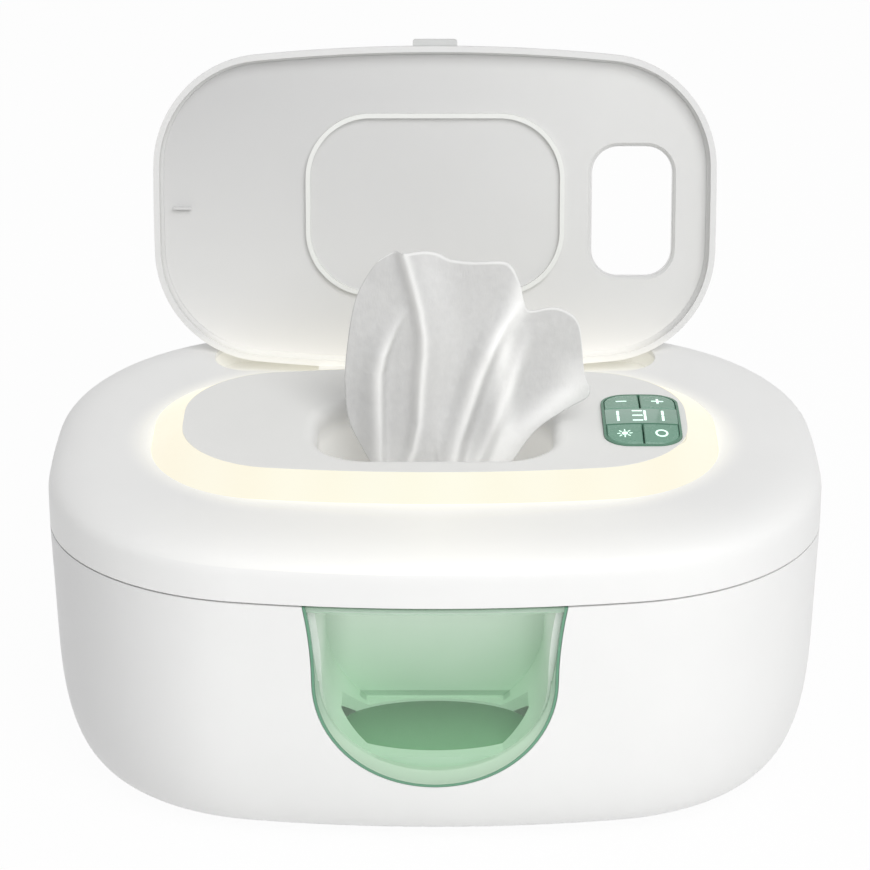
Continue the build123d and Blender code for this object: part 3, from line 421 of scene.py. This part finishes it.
# ---------------------------------------------------------------- pile of wipes
# Interfolded wipes of white non-woven cloth in the tank. Each is folded once over the next, so the
# folded edges face front and rear by turns and none lies quite true.
cloth = Finish("wipe_cloth", shade(222, 222, 221), 0.85, Sheen_Weight=0.15, Sheen_Roughness=0.5)
# The cloth is painted grey with a random mottle, painted shade on white cloth. A point attribute lifts it
# towards white: evenly on the pile of layered wipes, and on the wipe in the outlet as painted highlight along
# its folds and free edges and as painted light where it lies in shade down in the outlet.
layers_and_highlight = cloth.node("Attribute", {"attribute_name": "layers_and_highlight"}, out="Fac")
mottle = cloth.grain(2.2, 3.0, (1, 1, 0.8)) * 0.7 + cloth.grain(9, 2.0) * 0.3
single_shaded = cloth.blend(mottle, shade(192, 192, 192), shade(212, 212, 211))
cloth.tone(layers_and_highlight, single_shaded, shade(248, 248, 247))
fibres = cloth.grain(0.5, 3.0, (1, 1, 0.3)) + cloth.grain(1.4, 2.0) * 0.8
cloth.gloss(cloth.grain(2.0), 0.75, 0.92)
cloth.bump(fibres, 0.09)

low, high = (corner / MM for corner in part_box("wipe_stack"))
PILE_COUNT, WIPE_THICK, PILE_WHITE = 20, 0.32, 0.6
step = (high.z - low.z) / PILE_COUNT
# One wipe in side view: a lower leaf, a round fold at the rear, and an upper leaf that reaches further
# to the front.
SIDE_GAP, LOWER_GAP, UPPER_GAP, FOLD_GAP = 1.2, 6.0, 1.0, 3.0
LEAF_Z, FOLD_R, RIPPLE = 0.42, 0.62, 0.16
LEAF_STEPS, FOLD_STEPS, PILE_COLUMNS = 12, 8, 24
fold_y, lower_y, upper_y = high.y - FOLD_GAP, low.y + LOWER_GAP, low.y + UPPER_GAP
width = high.x - low.x - 2 * SIDE_GAP
profile = []
for i in range(LEAF_STEPS + 1):
    profile.append((lower_y + (fold_y - lower_y) * i / LEAF_STEPS, LEAF_Z))
for i in range(1, FOLD_STEPS):
    turn = pi * i / FOLD_STEPS
    profile.append((fold_y + FOLD_R * sin(turn), LEAF_Z + FOLD_R - FOLD_R * cos(turn)))
for i in range(LEAF_STEPS + 1):
    profile.append((fold_y - (fold_y - upper_y) * i / LEAF_STEPS, LEAF_Z + 2 * FOLD_R))
verts, faces = [], []
for column in range(PILE_COLUMNS + 1):
    x = low.x + SIDE_GAP + width * column / PILE_COLUMNS
    for y, z in profile:
        verts.append((x, y, low.z + z + RIPPLE * noise.noise((x * 0.05, y * 0.06, 0.7 * z))))
rows = len(profile)
for column in range(PILE_COLUMNS):
    for i in range(rows - 1):
        a = column * rows + i
        faces.append((a, a + 1, a + 1 + rows, a + rows))
folded = mesh_object("folded_wipe", verts, faces, cloth)
folded.data.attributes.new("layers_and_highlight", "FLOAT", "POINT").data.foreach_set("value", [PILE_WHITE] * len(verts))
body = folded.modifiers.new("cloth", "SOLIDIFY")
body.thickness, body.offset = WIPE_THICK * MM, 0

tree = bpy.data.node_groups.new("pile_of_wipes", "GeometryNodeTree")
tree.interface.new_socket("Geometry", in_out="INPUT", socket_type="NodeSocketGeometry")
inputs = {}
for label, kind, value in (
    ("Count", "NodeSocketInt", PILE_COUNT),
    ("Step", "NodeSocketFloat", step * MM),
    ("Slip", "NodeSocketFloat", 0.9 * MM),
    ("Seed", "NodeSocketInt", 5),
    ("Cloth", "NodeSocketMaterial", cloth.material),
):
    socket = tree.interface.new_socket(label, in_out="INPUT", socket_type=kind)
    inputs[socket.identifier] = value
tree.interface.new_socket("Geometry", in_out="OUTPUT", socket_type="NodeSocketGeometry")


def geometry_node(kind, settings=None, sockets=None):
    made = tree.nodes.new(kind)
    for key, value in (settings or {}).items():
        setattr(made, key, value)
    for key, value in (sockets or {}).items():
        if isinstance(value, bpy.types.NodeSocket):
            tree.links.new(value, made.inputs[key])
        else:
            made.inputs[key].default_value = value
    return made


given = geometry_node("NodeGroupInput")
lift = geometry_node("ShaderNodeCombineXYZ", {}, {"Z": given.outputs["Step"]})
line = geometry_node("GeometryNodeMeshLine", {}, {"Count": given.outputs["Count"], "Offset": lift.outputs[0]})
index = geometry_node("GeometryNodeInputIndex")
slip_low = geometry_node("ShaderNodeMath", {"operation": "MULTIPLY"}, {0: given.outputs["Slip"], 1: -1.0})
slip = geometry_node(
    "FunctionNodeRandomValue",
    {"data_type": "FLOAT"},
    {2: slip_low.outputs[0], 3: given.outputs["Slip"], "Seed": given.outputs["Seed"]},
)
shift = geometry_node("ShaderNodeCombineXYZ", {}, {"X": slip.outputs[1]})
moved = geometry_node(
    "GeometryNodeSetPosition", {}, {"Geometry": line.outputs[0], "Offset": shift.outputs[0]}
)
turned = geometry_node("ShaderNodeMath", {"operation": "MULTIPLY"}, {0: index.outputs[0], 1: pi})
spin = geometry_node("ShaderNodeCombineXYZ", {}, {"Z": turned.outputs[0]})
laid = geometry_node(
    "GeometryNodeInstanceOnPoints",
    {},
    {"Points": moved.outputs[0], "Instance": given.outputs["Geometry"], "Rotation": spin.outputs[0]},
)
real = geometry_node("GeometryNodeRealizeInstances", {}, {0: laid.outputs[0]})
painted = geometry_node(
    "GeometryNodeSetMaterial", {}, {"Geometry": real.outputs[0], "Material": given.outputs["Cloth"]}
)
geometry_node("NodeGroupOutput", {}, {0: painted.outputs[0]})


def grown(source, tree, name, inputs):
    """Runs a node tree on source and keeps the result as a plain mesh object."""
    modifier = source.modifiers.new("grow", "NODES")
    modifier.node_group = tree
    for identifier, value in inputs.items():
        modifier[identifier] = value
    bpy.context.view_layer.update()
    result = bpy.data.meshes.new_from_object(source.evaluated_get(bpy.context.evaluated_depsgraph_get()))
    result.name = name
    made = bpy.data.objects.new(name, result)
    scene.collection.objects.link(made)
    bpy.data.objects.remove(source)
    return made


# The pile turns about its own middle, so the wipe is centred on the origin first.
centre = Vector(((low.x + high.x) / 2, (low.y + high.y) / 2, 0)) * MM
for vertex in folded.data.vertices:
    vertex.co -= centre
pile = grown(folded, tree, "wipe_pile", inputs)
for vertex in pile.data.vertices:
    vertex.co += centre
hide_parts("wipe_stack")
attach(pile, "base")
run = sum(hypot(b[0] - a[0], b[1] - a[1]) for a, b in zip(profile, profile[1:]))


# ---------------------------------------------------------------- cover and deck
# The refill cover is moulded like the base. The deck dropped into it is the same plastic from a
# slightly duller mould, with a soft-edged outlet. The liner inside closes the light chamber.
cover_plastic = moulded("cover_plastic", shade(237, 237, 236), shade(243, 243, 242))
# The cover top slopes up to the rear, RISE per millimetre, and is COVER_TOP high over the origin.
SLOPE, COVER_TOP = radians(3.8), 109.2
RISE = tan(SLOPE)
# A painted glow stands in for the ring's light that spills on to the plastic round it: RING_HALF and
# RING_CORNER are its outline.
RING_HALF_X, RING_HALF_Y, RING_MIDDLE_Y, RING_CORNER, SPILL = 91.5, 51.25, -5.75, 40.0, 11.0
RING_BOW = 888.0  # twice the radius of the ring's front and rear
# The painted glow also lights the channel behind the ring and the front of the top, down to the shoulder.
CHANNEL_FRONT, CHANNEL_REAR, CHANNEL_HALF, CHANNEL_LOW = 44.0, 72.0, 78.0, 1.5
AHEAD_REAR, AHEAD_FRONT, AHEAD_HALF, SHOULDER = -50.0, -64.0, 95.0, 6.0
across, back = abs(cover_plastic.axis("X")), cover_plastic.axis("Y")
along = abs(back - RING_MIDDLE_Y)
over_x = (across - (RING_HALF_X - RING_CORNER)).at_least(0.0)
over_y = (along + across.squared() * (1 / RING_BOW) - (RING_HALF_Y - RING_CORNER)).at_least(0.0)
gap = (over_x.squared() + over_y.squared()).root() - RING_CORNER
spill = gap.ramp(SPILL, 0.0).squared()
over_origin = cover_plastic.axis("Z") - back * RISE
sunk = (over_origin < COVER_TOP - CHANNEL_LOW) * (across < CHANNEL_HALF)
sunk = sunk * (back > CHANNEL_FRONT) * (back < CHANNEL_REAR)
ahead = back.ramp(AHEAD_REAR, AHEAD_FRONT) * across.ramp(AHEAD_HALF, 0.0)
upper = over_origin > COVER_TOP - SHOULDER
# Painted glow: round the ring, in the channel and on the front of the top.
near = (spill * 0.9 + ahead * upper * 0.42).at_least(sunk * 0.3)
cover_plastic.glow(near, (0.3, 0.285, 0.215, 1))
dress(cover_plastic, "top_cover")
deck_plastic = moulded(
    "deck_plastic", shade(234, 234, 232), shade(240, 240, 238), gloss=(0.4, 0.52), grain=0.3, relief=0.008
)
# Inside the outlet a painted glow stands in for the light that comes in from all round: none DECK_OVER over
# the cover top, where the deck is, and full THROAT_GLOW below that.
DECK_OVER, THROAT_GLOW = 2.0, 9.0
below = COVER_TOP + DECK_OVER - deck_plastic.axis("Z") + deck_plastic.axis("Y") * RISE
deck_plastic.glow(below.ramp(0.0, THROAT_GLOW), (0.24, 0.235, 0.22, 1))
dress(deck_plastic, "deck_plate")
dress(inner_plastic, "cover_liner")


# ---------------------------------------------------------------- glowing ring
# A frosted light guide round the deck, lit from below by warm white diodes on a narrow board. The
# glow is slightly uneven along it and warmer towards the corners.
WAVE, WARM_SPAN = 26.0, 120.0
ring_glow = Finish("ring_glow", shade(112, 110, 98), 0.4, Emission_Strength=1.0)
across = ring_glow.axis("X")
uneven = (across * (2 * pi / WAVE)).sine() * 0.5 + 0.5
warmer = abs(across) * (1 / WARM_SPAN) + ring_glow.grain(40) * 0.3
warm = ring_glow.blend(warmer, shade(231, 230, 212), shade(229, 222, 203))
lit = ring_glow.blend(uneven * 0.25, warm, shade(232, 232, 220))
ring_glow.set(ring_glow.surface, "Emission Color", lit)
ring_glow.tone(ring_glow.grain(30), shade(108, 106, 94), shade(118, 116, 104))
ring_glow.gloss(ring_glow.grain(2.0), 0.35, 0.5)
ring_glow.bump(ring_glow.grain(0.3), 0.01)
dress(ring_glow, "light_ring")

diode = Finish("diode", shade(250, 240, 190), 0.3, Emission_Strength=1.5)
dome = diode.grain(1.2)
diode.set(diode.surface, "Emission Color", diode.blend(dome, shade(255, 240, 190), shade(255, 250, 225)))
diode.tone(dome, shade(246, 226, 150), shade(252, 244, 205))
diode.gloss(dome, 0.2, 0.35)
dress(diode, "leds")


# ---------------------------------------------------------------- keypad
# Four caps and a fixed middle band under one crown, moulded in sage green and lacquered glossy.
# Symbols and digits are clear inlays lit from behind: minus, plus, a sun, a ring, and plain numbers.
key_green = Finish(
    "key_green", shade(112, 158, 136), 0.3, Coat_Weight=0.25, Coat_Roughness=0.12, Specular_IOR_Level=0.4
)
key_green.tone(key_green.grain(14, 3.0), shade(106, 152, 130), shade(118, 164, 142))
key_green.gloss(key_green.grain(5.0, 3.0), 0.22, 0.32)
key_green.bump(key_green.grain(0.4), 0.003)
dress(key_green, "key_minus", "key_plus", "key_light", "key_timer")

band_green = Finish("band_green", shade(108, 154, 132), 0.14, Coat_Weight=0.9, Coat_Roughness=0.04)
band_green.tone(band_green.grain(14, 3.0), shade(102, 148, 126), shade(114, 160, 138))
band_green.gloss(band_green.grain(6.0, 3.0), 0.1, 0.2)
dress(band_green, "display_window")

rim_green = moulded(
    "rim_green", shade(84, 128, 106), shade(94, 138, 116), gloss=(0.3, 0.42), grain=0.4, relief=0.006
)
dress(rim_green, "keypad_frame")

mint_light = Finish("mint_light", shade(214, 244, 230), 0.3, Emission_Strength=0.75)
spark = mint_light.grain(0.8)
mint_light.set(
    mint_light.surface, "Emission Color", mint_light.blend(spark, shade(206, 242, 226), shade(226, 252, 240))
)
mint_light.tone(spark, shade(206, 238, 222), shade(220, 248, 234))
mint_light.gloss(spark, 0.2, 0.35)

INLAY_LIFT, INLAY_SINK, BAR_CORNER = 0.05, 0.12, 0.25


def surface_of(node):
    """Height of a node's upper surface, in millimetres, above a point in plan."""
    mesh = nodes[node].data
    shape = BVHTree.FromPolygons([v.co for v in mesh.vertices], [tuple(p.vertices) for p in mesh.polygons])

    def height(x, y):
        above = Vector((x, y, 300.0)) * MM
        return shape.ray_cast(above, Vector((0, 0, -1)))[0].z / MM

    return height


def bar_shape(x, y, width, depth):
    """Outline of a small bar with rounded corners."""
    reach_x, reach_y = width / 2 - BAR_CORNER, depth / 2 - BAR_CORNER
    points = []
    for kx, ky, start in ((1, 1, 0), (-1, 1, 90), (-1, -1, 180), (1, -1, 270)):
        for turn in (0, 30, 60, 90):
            angle = radians(start + turn)
            round_x, round_y = BAR_CORNER * cos(angle), BAR_CORNER * sin(angle)
            points.append((x + kx * reach_x + round_x, y + ky * reach_y + round_y))
    return points


def inlay(name, node, body, loops, hoops=()):
    """Lit inlays in the top of node: filled outlines, and hoops given as (outer, inner) outlines."""
    height = surface_of(node)
    verts, faces = [], []
    for loop in loops:
        start, count = len(verts), len(loop)
        verts += [(x, y, height(x, y) + INLAY_LIFT) for x, y in loop]
        verts += [(x, y, height(x, y) - INLAY_SINK) for x, y in loop]
        faces.append(tuple(range(start, start + count)))
        faces.append(tuple(range(start + 2 * count - 1, start + count - 1, -1)))
        for i in range(count):
            j = (i + 1) % count
            faces.append((start + i, start + count + i, start + count + j, start + j))
    for outer, inner in hoops:
        start, count = len(verts), len(outer)
        for loop in (outer, inner):
            verts += [(x, y, height(x, y) + INLAY_LIFT) for x, y in loop]
        for loop in (outer, inner):
            verts += [(x, y, height(x, y) - INLAY_SINK) for x, y in loop]
        for i in range(count):
            j = (i + 1) % count
            a, b, c, d = start, start + count, start + 2 * count, start + 3 * count
            faces += [
                (a + i, a + j, b + j, b + i),
                (c + i, d + i, d + j, c + j),
                (a + i, c + i, c + j, a + j),
                (b + i, b + j, d + j, d + i),
            ]
    made = mesh_object(name, verts, faces, mint_light, smooth=False)
    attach(made, body)


def centre_of(node):
    low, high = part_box(node)
    return (low.x + high.x) / 2 / MM, (low.y + high.y) / 2 / MM


def oval(x, y, half_x, half_y, count=40):
    turns = [2 * pi * i / count for i in range(count)]
    return [(x + half_x * cos(t), y + half_y * sin(t)) for t in turns]


MINUS_WIDE = 3.6
ARM, PLUS_X, PLUS_Y = 0.4, 2.0, 2.2  # half the width of an arm, and how far the plus reaches
x, y = centre_of("key_minus")
inlay("minus_mark", "key_minus", "minus_key", [bar_shape(x, y, MINUS_WIDE, 2 * ARM)])

x, y = centre_of("key_plus")
plus = [(ARM, ARM), (ARM, PLUS_Y), (-ARM, PLUS_Y), (-ARM, ARM), (-PLUS_X, ARM), (-PLUS_X, -ARM)]
plus += [(-ARM, -ARM), (-ARM, -PLUS_Y), (ARM, -PLUS_Y), (ARM, -ARM), (PLUS_X, -ARM), (PLUS_X, ARM)]
inlay("plus_mark", "key_plus", "plus_key", [[(x + px, y + py) for px, py in plus]])

x, y = centre_of("key_timer")
inlay("ring_mark", "key_timer", "timer_key", [], [(oval(x, y, 2.1, 2.3), oval(x, y, 1.45, 1.6))])

# The sun: a small disc and eight rays set round it.
x, y = centre_of("key_light")
RAYS, RAY = 8, [(1.45, -0.24), (2.5, -0.17), (2.5, 0.17), (1.45, 0.24)]
rays = []
for i in range(RAYS):
    angle = 2 * pi * i / RAYS
    ux, uy = cos(angle), sin(angle)
    rays.append([(x + r * ux - s * uy, y + r * uy + s * ux) for r, s in RAY])
inlay("sun_mark", "key_light", "light_key", [oval(x, y, 1.0, 1.0, 24)] + rays)

# Digits of a numeral module, as bars behind the band: a one at each side and a three in the middle.
x, y = centre_of("display_window")
TALL, STROKE, BAR_GAP = 8.2, 0.85, 0.35
LEFT_ONE, RIGHT_ONE, SPINE, BARS, BAR_WIDE = -7.6, 7.0, 1.2, -1.25, 3.4


def upright(cx, cy):
    return [bar_shape(cx, cy + side * TALL / 4, STROKE, TALL / 2 - BAR_GAP) for side in (1, -1)]


digits = upright(x + LEFT_ONE, y) + upright(x + RIGHT_ONE, y) + upright(x + SPINE, y)
for up in (TALL / 2 - STROKE / 2, 0, STROKE / 2 - TALL / 2):
    digits.append(bar_shape(x + BARS, y + up, BAR_WIDE, STROKE))
inlay("number_marks", "display_window", "cover", digits)


# ---------------------------------------------------------------- wipe in the outlet
# The next wipe, pulled up by its middle: a thin damp non-woven sheet, gathered in the outlet and spreading
# above it in long soft folds. Its upper edges are free.
FOOT_Z, WAIST_Z = 66.0, 97.7
WAIST = [(-18.6, WAIST_Z), (-8.0, WAIST_Z), (8.0, WAIST_Z), (22.8, WAIST_Z)]
LEFT = [(-18.6, WAIST_Z), (-27.3, 113.1), (-29.0, 126.4), (-28.2, 140.0), (-25.7, 154.8), (-21.9, 163.2)]
LEFT += [(-18.0, 168.8)]
RIGHT = [(22.8, WAIST_Z), (25.1, 101.2), (32.5, 111.8), (41.7, 118.5), (49.0, 122.6), (50.0, 126.3)]
HEAD = [(-18.0, 168.8), (-13.7, 171.7), (-10.0, 172.9), (-4.0, 173.0), (0.9, 172.0), (5.1, 170.1)]
HEAD += [(11.7, 169.5), (20.9, 169.6), (24.5, 167.5), (27.0, 161.8), (28.3, 156.1), (30.2, 152.9)]
HEAD += [(37.5, 153.8), (42.4, 152.2), (45.5, 149.1), (46.8, 143.8), (48.0, 131.5), (50.0, 126.3)]
# Folds from the top down: the line, how far it stands forward, the width of its left and right flanks, and
# how bright the painted highlight along it is, with the left and right width of that band. The last two don't
# stand forward: they are only painted highlight on the cloth.
FOLDS = [
    ([(-9.8, 172.9), (-7.0, 163.2), (-4.8, 154.5), (-3.5, 145.7), (-3.5, 139.1), (-4.4, 128.9), (-5.1, 115.7),
      (-6.9, 107.0), (-10.4, 97.5)], 5.0, 2.0, 6.0, 0.9, 2.4, 1.2),
    ([(-9.4, 153.5), (-13.4, 146.4), (-16.4, 138.4), (-17.7, 132.5), (-17.9, 124.5), (-17.8, 114.3),
      (-17.8, 105.5), (-17.8, 97.5)], 4.2, 5.5, 1.6, 0.7, 2.0, 0.9),
    ([(26.6, 155.5), (21.9, 148.6), (18.1, 141.3), (14.3, 131.8), (10.6, 120.1), (7.5, 109.9), (5.6, 99.6)],
     6.0, 5.0, 2.6, 0.8, 2.8, 1.2),
    ([(30.6, 147.9), (27.5, 139.1), (24.4, 128.9), (20.6, 117.9), (15.6, 106.2), (11.8, 98.2)],
     3.0, 3.0, 3.0, 0.45, 2.0, 2.0),
    ([(47.0, 138.0), (44.5, 127.0), (37.5, 119.5), (30.0, 112.5), (24.5, 105.5), (20.0, 98.0)],
     2.0, 6.0, 6.0, 0.9, 6.0, 9.0),
    ([(-2.0, 173.0), (2.5, 150.0), (3.0, 130.0), (0.0, 112.0), (-3.0, 98.0)], 0.0, 1.0, 1.0, 0.14, 5.0, 9.0),
    ([(30.5, 168.0), (28.0, 160.0), (25.8, 152.0), (22.5, 146.0)], 0.0, 1.0, 1.0, 0.8, 3.4, 3.4),
]
BULGE = 4.0  # the middle of the cloth stands this far ahead of its edges
FADE_IN, TOP_EDGE = 16.0, 165.0  # a fold that starts below TOP_EDGE fades in over FADE_IN
FOOT_WIDE, FOOT_DEEP = 0.82, 0.75  # the foot in the outlet, as shares of the waist
OUTLET_Y, CLOTH_THICK = -7.5, 0.35
COLUMNS, ROWS, FOOT_ROWS = 150, 130, 34
# Painted highlight along the free edges, and painted light on the cloth down in the outlet, where it lies in
# shade.
EDGE_HIGHLIGHT = 0.55  # free edges look whiter, and so does the cloth down in the outlet
LOW_PAINTED_LIGHT, LOW_Z, LOW_SPAN = 0.45, 122.0, 24.0
TIGHT, TIGHT_Z, TIGHT_SPAN = 0.25, 95.0, 40.0  # near the outlet the cloth is pulled smooth


def between(p, q, r, s, t):
    """One coordinate of the smooth curve that runs from q at t = 0 to r at t = 1."""
    return 0.5 * (2 * q + (r - p) * t + (2 * p - 5 * q + 4 * r - s) * t**2 + (3 * q - p - 3 * r + s) * t**3)


def spline(points, count):
    """count + 1 points evenly spaced on a smooth curve through the points."""
    fine = []
    for i in range(len(points) - 1):
        a, b, c, d = points[max(i - 1, 0)], points[i], points[i + 1], points[min(i + 2, len(points) - 1)]
        for k in range(16):
            fine.append(tuple(between(*four, k / 16) for four in zip(a, b, c, d)))
    fine.append(points[-1])
    lengths = [0.0]
    for a, b in zip(fine, fine[1:]):
        lengths.append(lengths[-1] + hypot(b[0] - a[0], b[1] - a[1]))
    found, k = [], 0
    for i in range(count + 1):
        want = lengths[-1] * i / count
        while k < len(fine) - 2 and lengths[k + 1] < want:
            k += 1
        t = (want - lengths[k]) / max(lengths[k + 1] - lengths[k], 1e-9)
        found.append(tuple(p + (q - p) * t for p, q in zip(fine[k], fine[k + 1])))
    return found


def fold_x(points, z):
    """x of a fold line at height z."""
    if z >= points[0][1]:
        return points[0][0]
    for (xa, za), (xb, zb) in zip(points, points[1:]):
        if z >= zb:
            return xb + (xa - xb) * (z - zb) / (za - zb)
    return points[-1][0]


def folded_at(x, z, left, right):
    """How far forward (minus) or back the cloth lies at a point of its outline, and how much painted
    highlight it gets.
    """
    across = (x - left) / max(right - left, 0.01)
    forward, white = BULGE * (2 * abs(across - 0.5) - 1), 0.0
    for points, height, left_flank, right_flank, bright, left_band, right_band in FOLDS:
        side, top = x - fold_x(points, z), points[0][1]
        appear = min(max((top + 1 - z) / FADE_IN, 0), 1) if top < TOP_EDGE else 1.0
        flank, band = (left_flank, left_band) if side < 0 else (right_flank, right_band)
        forward -= height * appear * exp(-((side / flank) ** 2))
        white += bright * appear * exp(-((side / band) ** 2))
    return forward, min(white, 1.0)


left_side, right_side = spline(LEFT, ROWS), spline(RIGHT, ROWS)
foot_side, head_side = spline(WAIST, COLUMNS), spline(HEAD, COLUMNS)
grid = []
for j in range(ROWS + 1):
    v = j / ROWS
    line = []
    for i in range(COLUMNS + 1):
        u = i / COLUMNS
        point = [
            (1 - v) * foot_side[i][k] + v * head_side[i][k] + (1 - u) * left_side[j][k] + u * right_side[j][k]
            - (1 - u) * (1 - v) * foot_side[0][k] - u * (1 - v) * foot_side[-1][k]
            - (1 - u) * v * head_side[0][k] - u * v * head_side[-1][k]
            for k in (0, 1)
        ]
        line.append(point)
    grid.append([[x, *folded_at(x, z, line[0][0], line[-1][0]), z] for x, z in line])
foot = []
for j in range(FOOT_ROWS):
    share = j / FOOT_ROWS
    wide, deep = FOOT_WIDE + (1 - FOOT_WIDE) * share, FOOT_DEEP + (1 - FOOT_DEEP) * share
    z = FOOT_Z + (WAIST_Z - FOOT_Z) * share
    foot.append([[x * wide, back * deep, white, z] for x, back, white, _ in grid[0]])
grid = foot + grid
verts, faces, whites = [], [], []
for j, line in enumerate(grid):
    for i, (x, back, white, z) in enumerate(line):
        loose = min(max((z - TIGHT_Z) / TIGHT_SPAN, TIGHT), 1)
        crumple = 0.9 * noise.noise((x * 0.05, z * 0.03, 2.0)) + 0.22 * noise.noise((x * 0.16, z * 0.09, 5.0))
        crumple += 0.08 * noise.noise((x * 0.5, z * 0.3, 9.0))
        verts.append((x, OUTLET_Y + back + crumple * loose, z))
        at_edge = j > len(grid) - 3 or (i > COLUMNS - 2 and j > FOOT_ROWS)
        low_down = LOW_PAINTED_LIGHT * min(max((LOW_Z - z) / LOW_SPAN, 0), 1)
        white = max(white, EDGE_HIGHLIGHT if at_edge else 0.0)
        whites.append(white + low_down * (1 - white))
for j in range(len(grid) - 1):
    for i in range(COLUMNS):
        a = j * (COLUMNS + 1) + i
        faces.append((a, a + 1, a + COLUMNS + 2, a + COLUMNS + 1))
wipe = mesh_object("wipe_sheet", verts, faces, cloth)
wipe.data.attributes.new("layers_and_highlight", "FLOAT", "POINT").data.foreach_set("value", whites)
body = wipe.modifiers.new("cloth", "SOLIDIFY")
body.thickness, body.offset = CLOTH_THICK * MM, 0
solid = bpy.data.meshes.new_from_object(wipe.evaluated_get(bpy.context.evaluated_depsgraph_get()))
wipe.modifiers.clear()
wipe.data = solid
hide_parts("wipe")
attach(wipe, "cover")
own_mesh(wipe)


# ---------------------------------------------------------------- lid
# A shallow lid in the same white plastic, with a smooth liner and a silicone lip that closes the
# outlet. A small grey grip is moulded on its front edge.
# Painted shade: the lid is the base's white plastic painted greyer, for the lesser light on it.
lid_plastic = moulded(
    "lid_plastic", shade(216, 216, 216), shade(224, 224, 223), gloss=(0.36, 0.46), grain=0.3, relief=0.006
)
# A painted glow stands in for the ring's light on the foot of the open lid, from the height where that starts
# down to where it is full.
SHELL_DIM, SHELL_LIT, LINER_DIM, LINER_LIT = 121.0, 109.0, 136.0, 106.0
lid_plastic.glow(lid_plastic.axis("Z").ramp(SHELL_DIM, SHELL_LIT), (0.36, 0.345, 0.29, 1))
dress(lid_plastic, "lid_shell")
# Painted shade: the liner is painted greyer than the base's plastic too.
liner_plastic = moulded(
    "liner_plastic", shade(216, 216, 215), shade(222, 222, 221), gloss=(0.42, 0.54), grain=0.3, relief=0.008
)
# Painted shade: the corner of the open lid away from the lamp is painted a little greyer.
GREY_LOW, GREY_HIGH, GREY_RIGHT, GREY_LEFT = 130.0, 200.0, 60.0, -90.0
level_x, level_z = liner_plastic.axis("X"), liner_plastic.axis("Z")
far_corner_shade = level_z.ramp(GREY_LOW, GREY_HIGH) * level_x.ramp(GREY_RIGHT, GREY_LEFT)
liner_plastic.over(far_corner_shade, shade(196, 196, 196))
# The same painted glow for the ring's light on the foot of the liner.
liner_plastic.glow(level_z.ramp(LINER_DIM, LINER_LIT).squared(), (0.34, 0.32, 0.28, 1))
dress(liner_plastic, "lid_liner")
dress(soft_silicone, "lid_seal")
grip_grey = moulded(
    "grip_grey", shade(196, 197, 196), shade(208, 209, 208), gloss=(0.45, 0.6), grain=0.3, relief=0.012
)
dress(grip_grey, "lid_tab")


# ---------------------------------------------------------------- floor, light and camera
# A pale floor under even studio light, with one large soft lamp at the right, above and in front.
floor_mesh = bpy.data.meshes.new("floor")
floor_mesh.from_pydata([(-6, -6, 0), (6, -6, 0), (6, 6, 0), (-6, 6, 0)], [], [(0, 1, 2, 3)])
floor = bpy.data.objects.new("floor", floor_mesh)
scene.collection.objects.link(floor)
pale = Finish("pale_floor", shade(242, 242, 242), 0.8)
seen = pale.node("LightPath", out="Is Camera Ray")
mirrored = pale.node("LightPath", out="Is Glossy Ray")
through = pale.node("LightPath", out="Is Transmission Ray")
white = pale.node("Emission", {}, {"Color": (1, 1, 1, 1), "Strength": 1.0})
mixed = pale.node(
    "MixShader", {}, {0: (seen + mirrored + through) * 0.96, 1: Link(pale, pale.surface.outputs[0]), 2: white}
)
pale.set(pale.tree.nodes["Material Output"], "Surface", mixed)
floor_mesh.materials.append(pale.material)

world = bpy.data.worlds.new("studio")
scene.world = world
world.use_nodes = True
sky = Shading(world.node_tree)
ground = sky.tree.nodes["Background"]
bright = sky.node("LightPath", out="Is Camera Ray") + sky.node("LightPath", out="Is Transmission Ray")
bright = bright + sky.node("LightPath", out="Is Glossy Ray")
SKY = 0.47  # strength of the sky where it only lights, so that the white plastic keeps its shading
sky.set(ground, "Color", (1, 1, 1, 1))
sky.set(ground, "Strength", SKY + (1 - SKY) * (bright > 0.5))

lamp = bpy.data.lights.new("key_lamp", "AREA")
lamp.shape, lamp.size, lamp.energy = "DISK", 1.4, 22.0
lamp_object = bpy.data.objects.new("key_lamp", lamp)
lamp_object.location = (0.5, -1.38, 1.3)
aim = Vector((0, 0, 0.08)) - lamp_object.location
lamp_object.rotation_euler = aim.to_track_quat("-Z", "Y").to_euler()
scene.collection.objects.link(lamp_object)

lens = bpy.data.cameras.new("camera")
lens.sensor_width, lens.lens, lens.shift_y = 36.0, 137.0, 0.1517
camera = bpy.data.objects.new("camera", lens)
camera.location = (0.0, -1.01256, 0.4898)
camera.rotation_euler = (radians(67), 0, 0)
scene.collection.objects.link(camera)
scene.camera = camera
scene.view_settings.view_transform = "Standard"
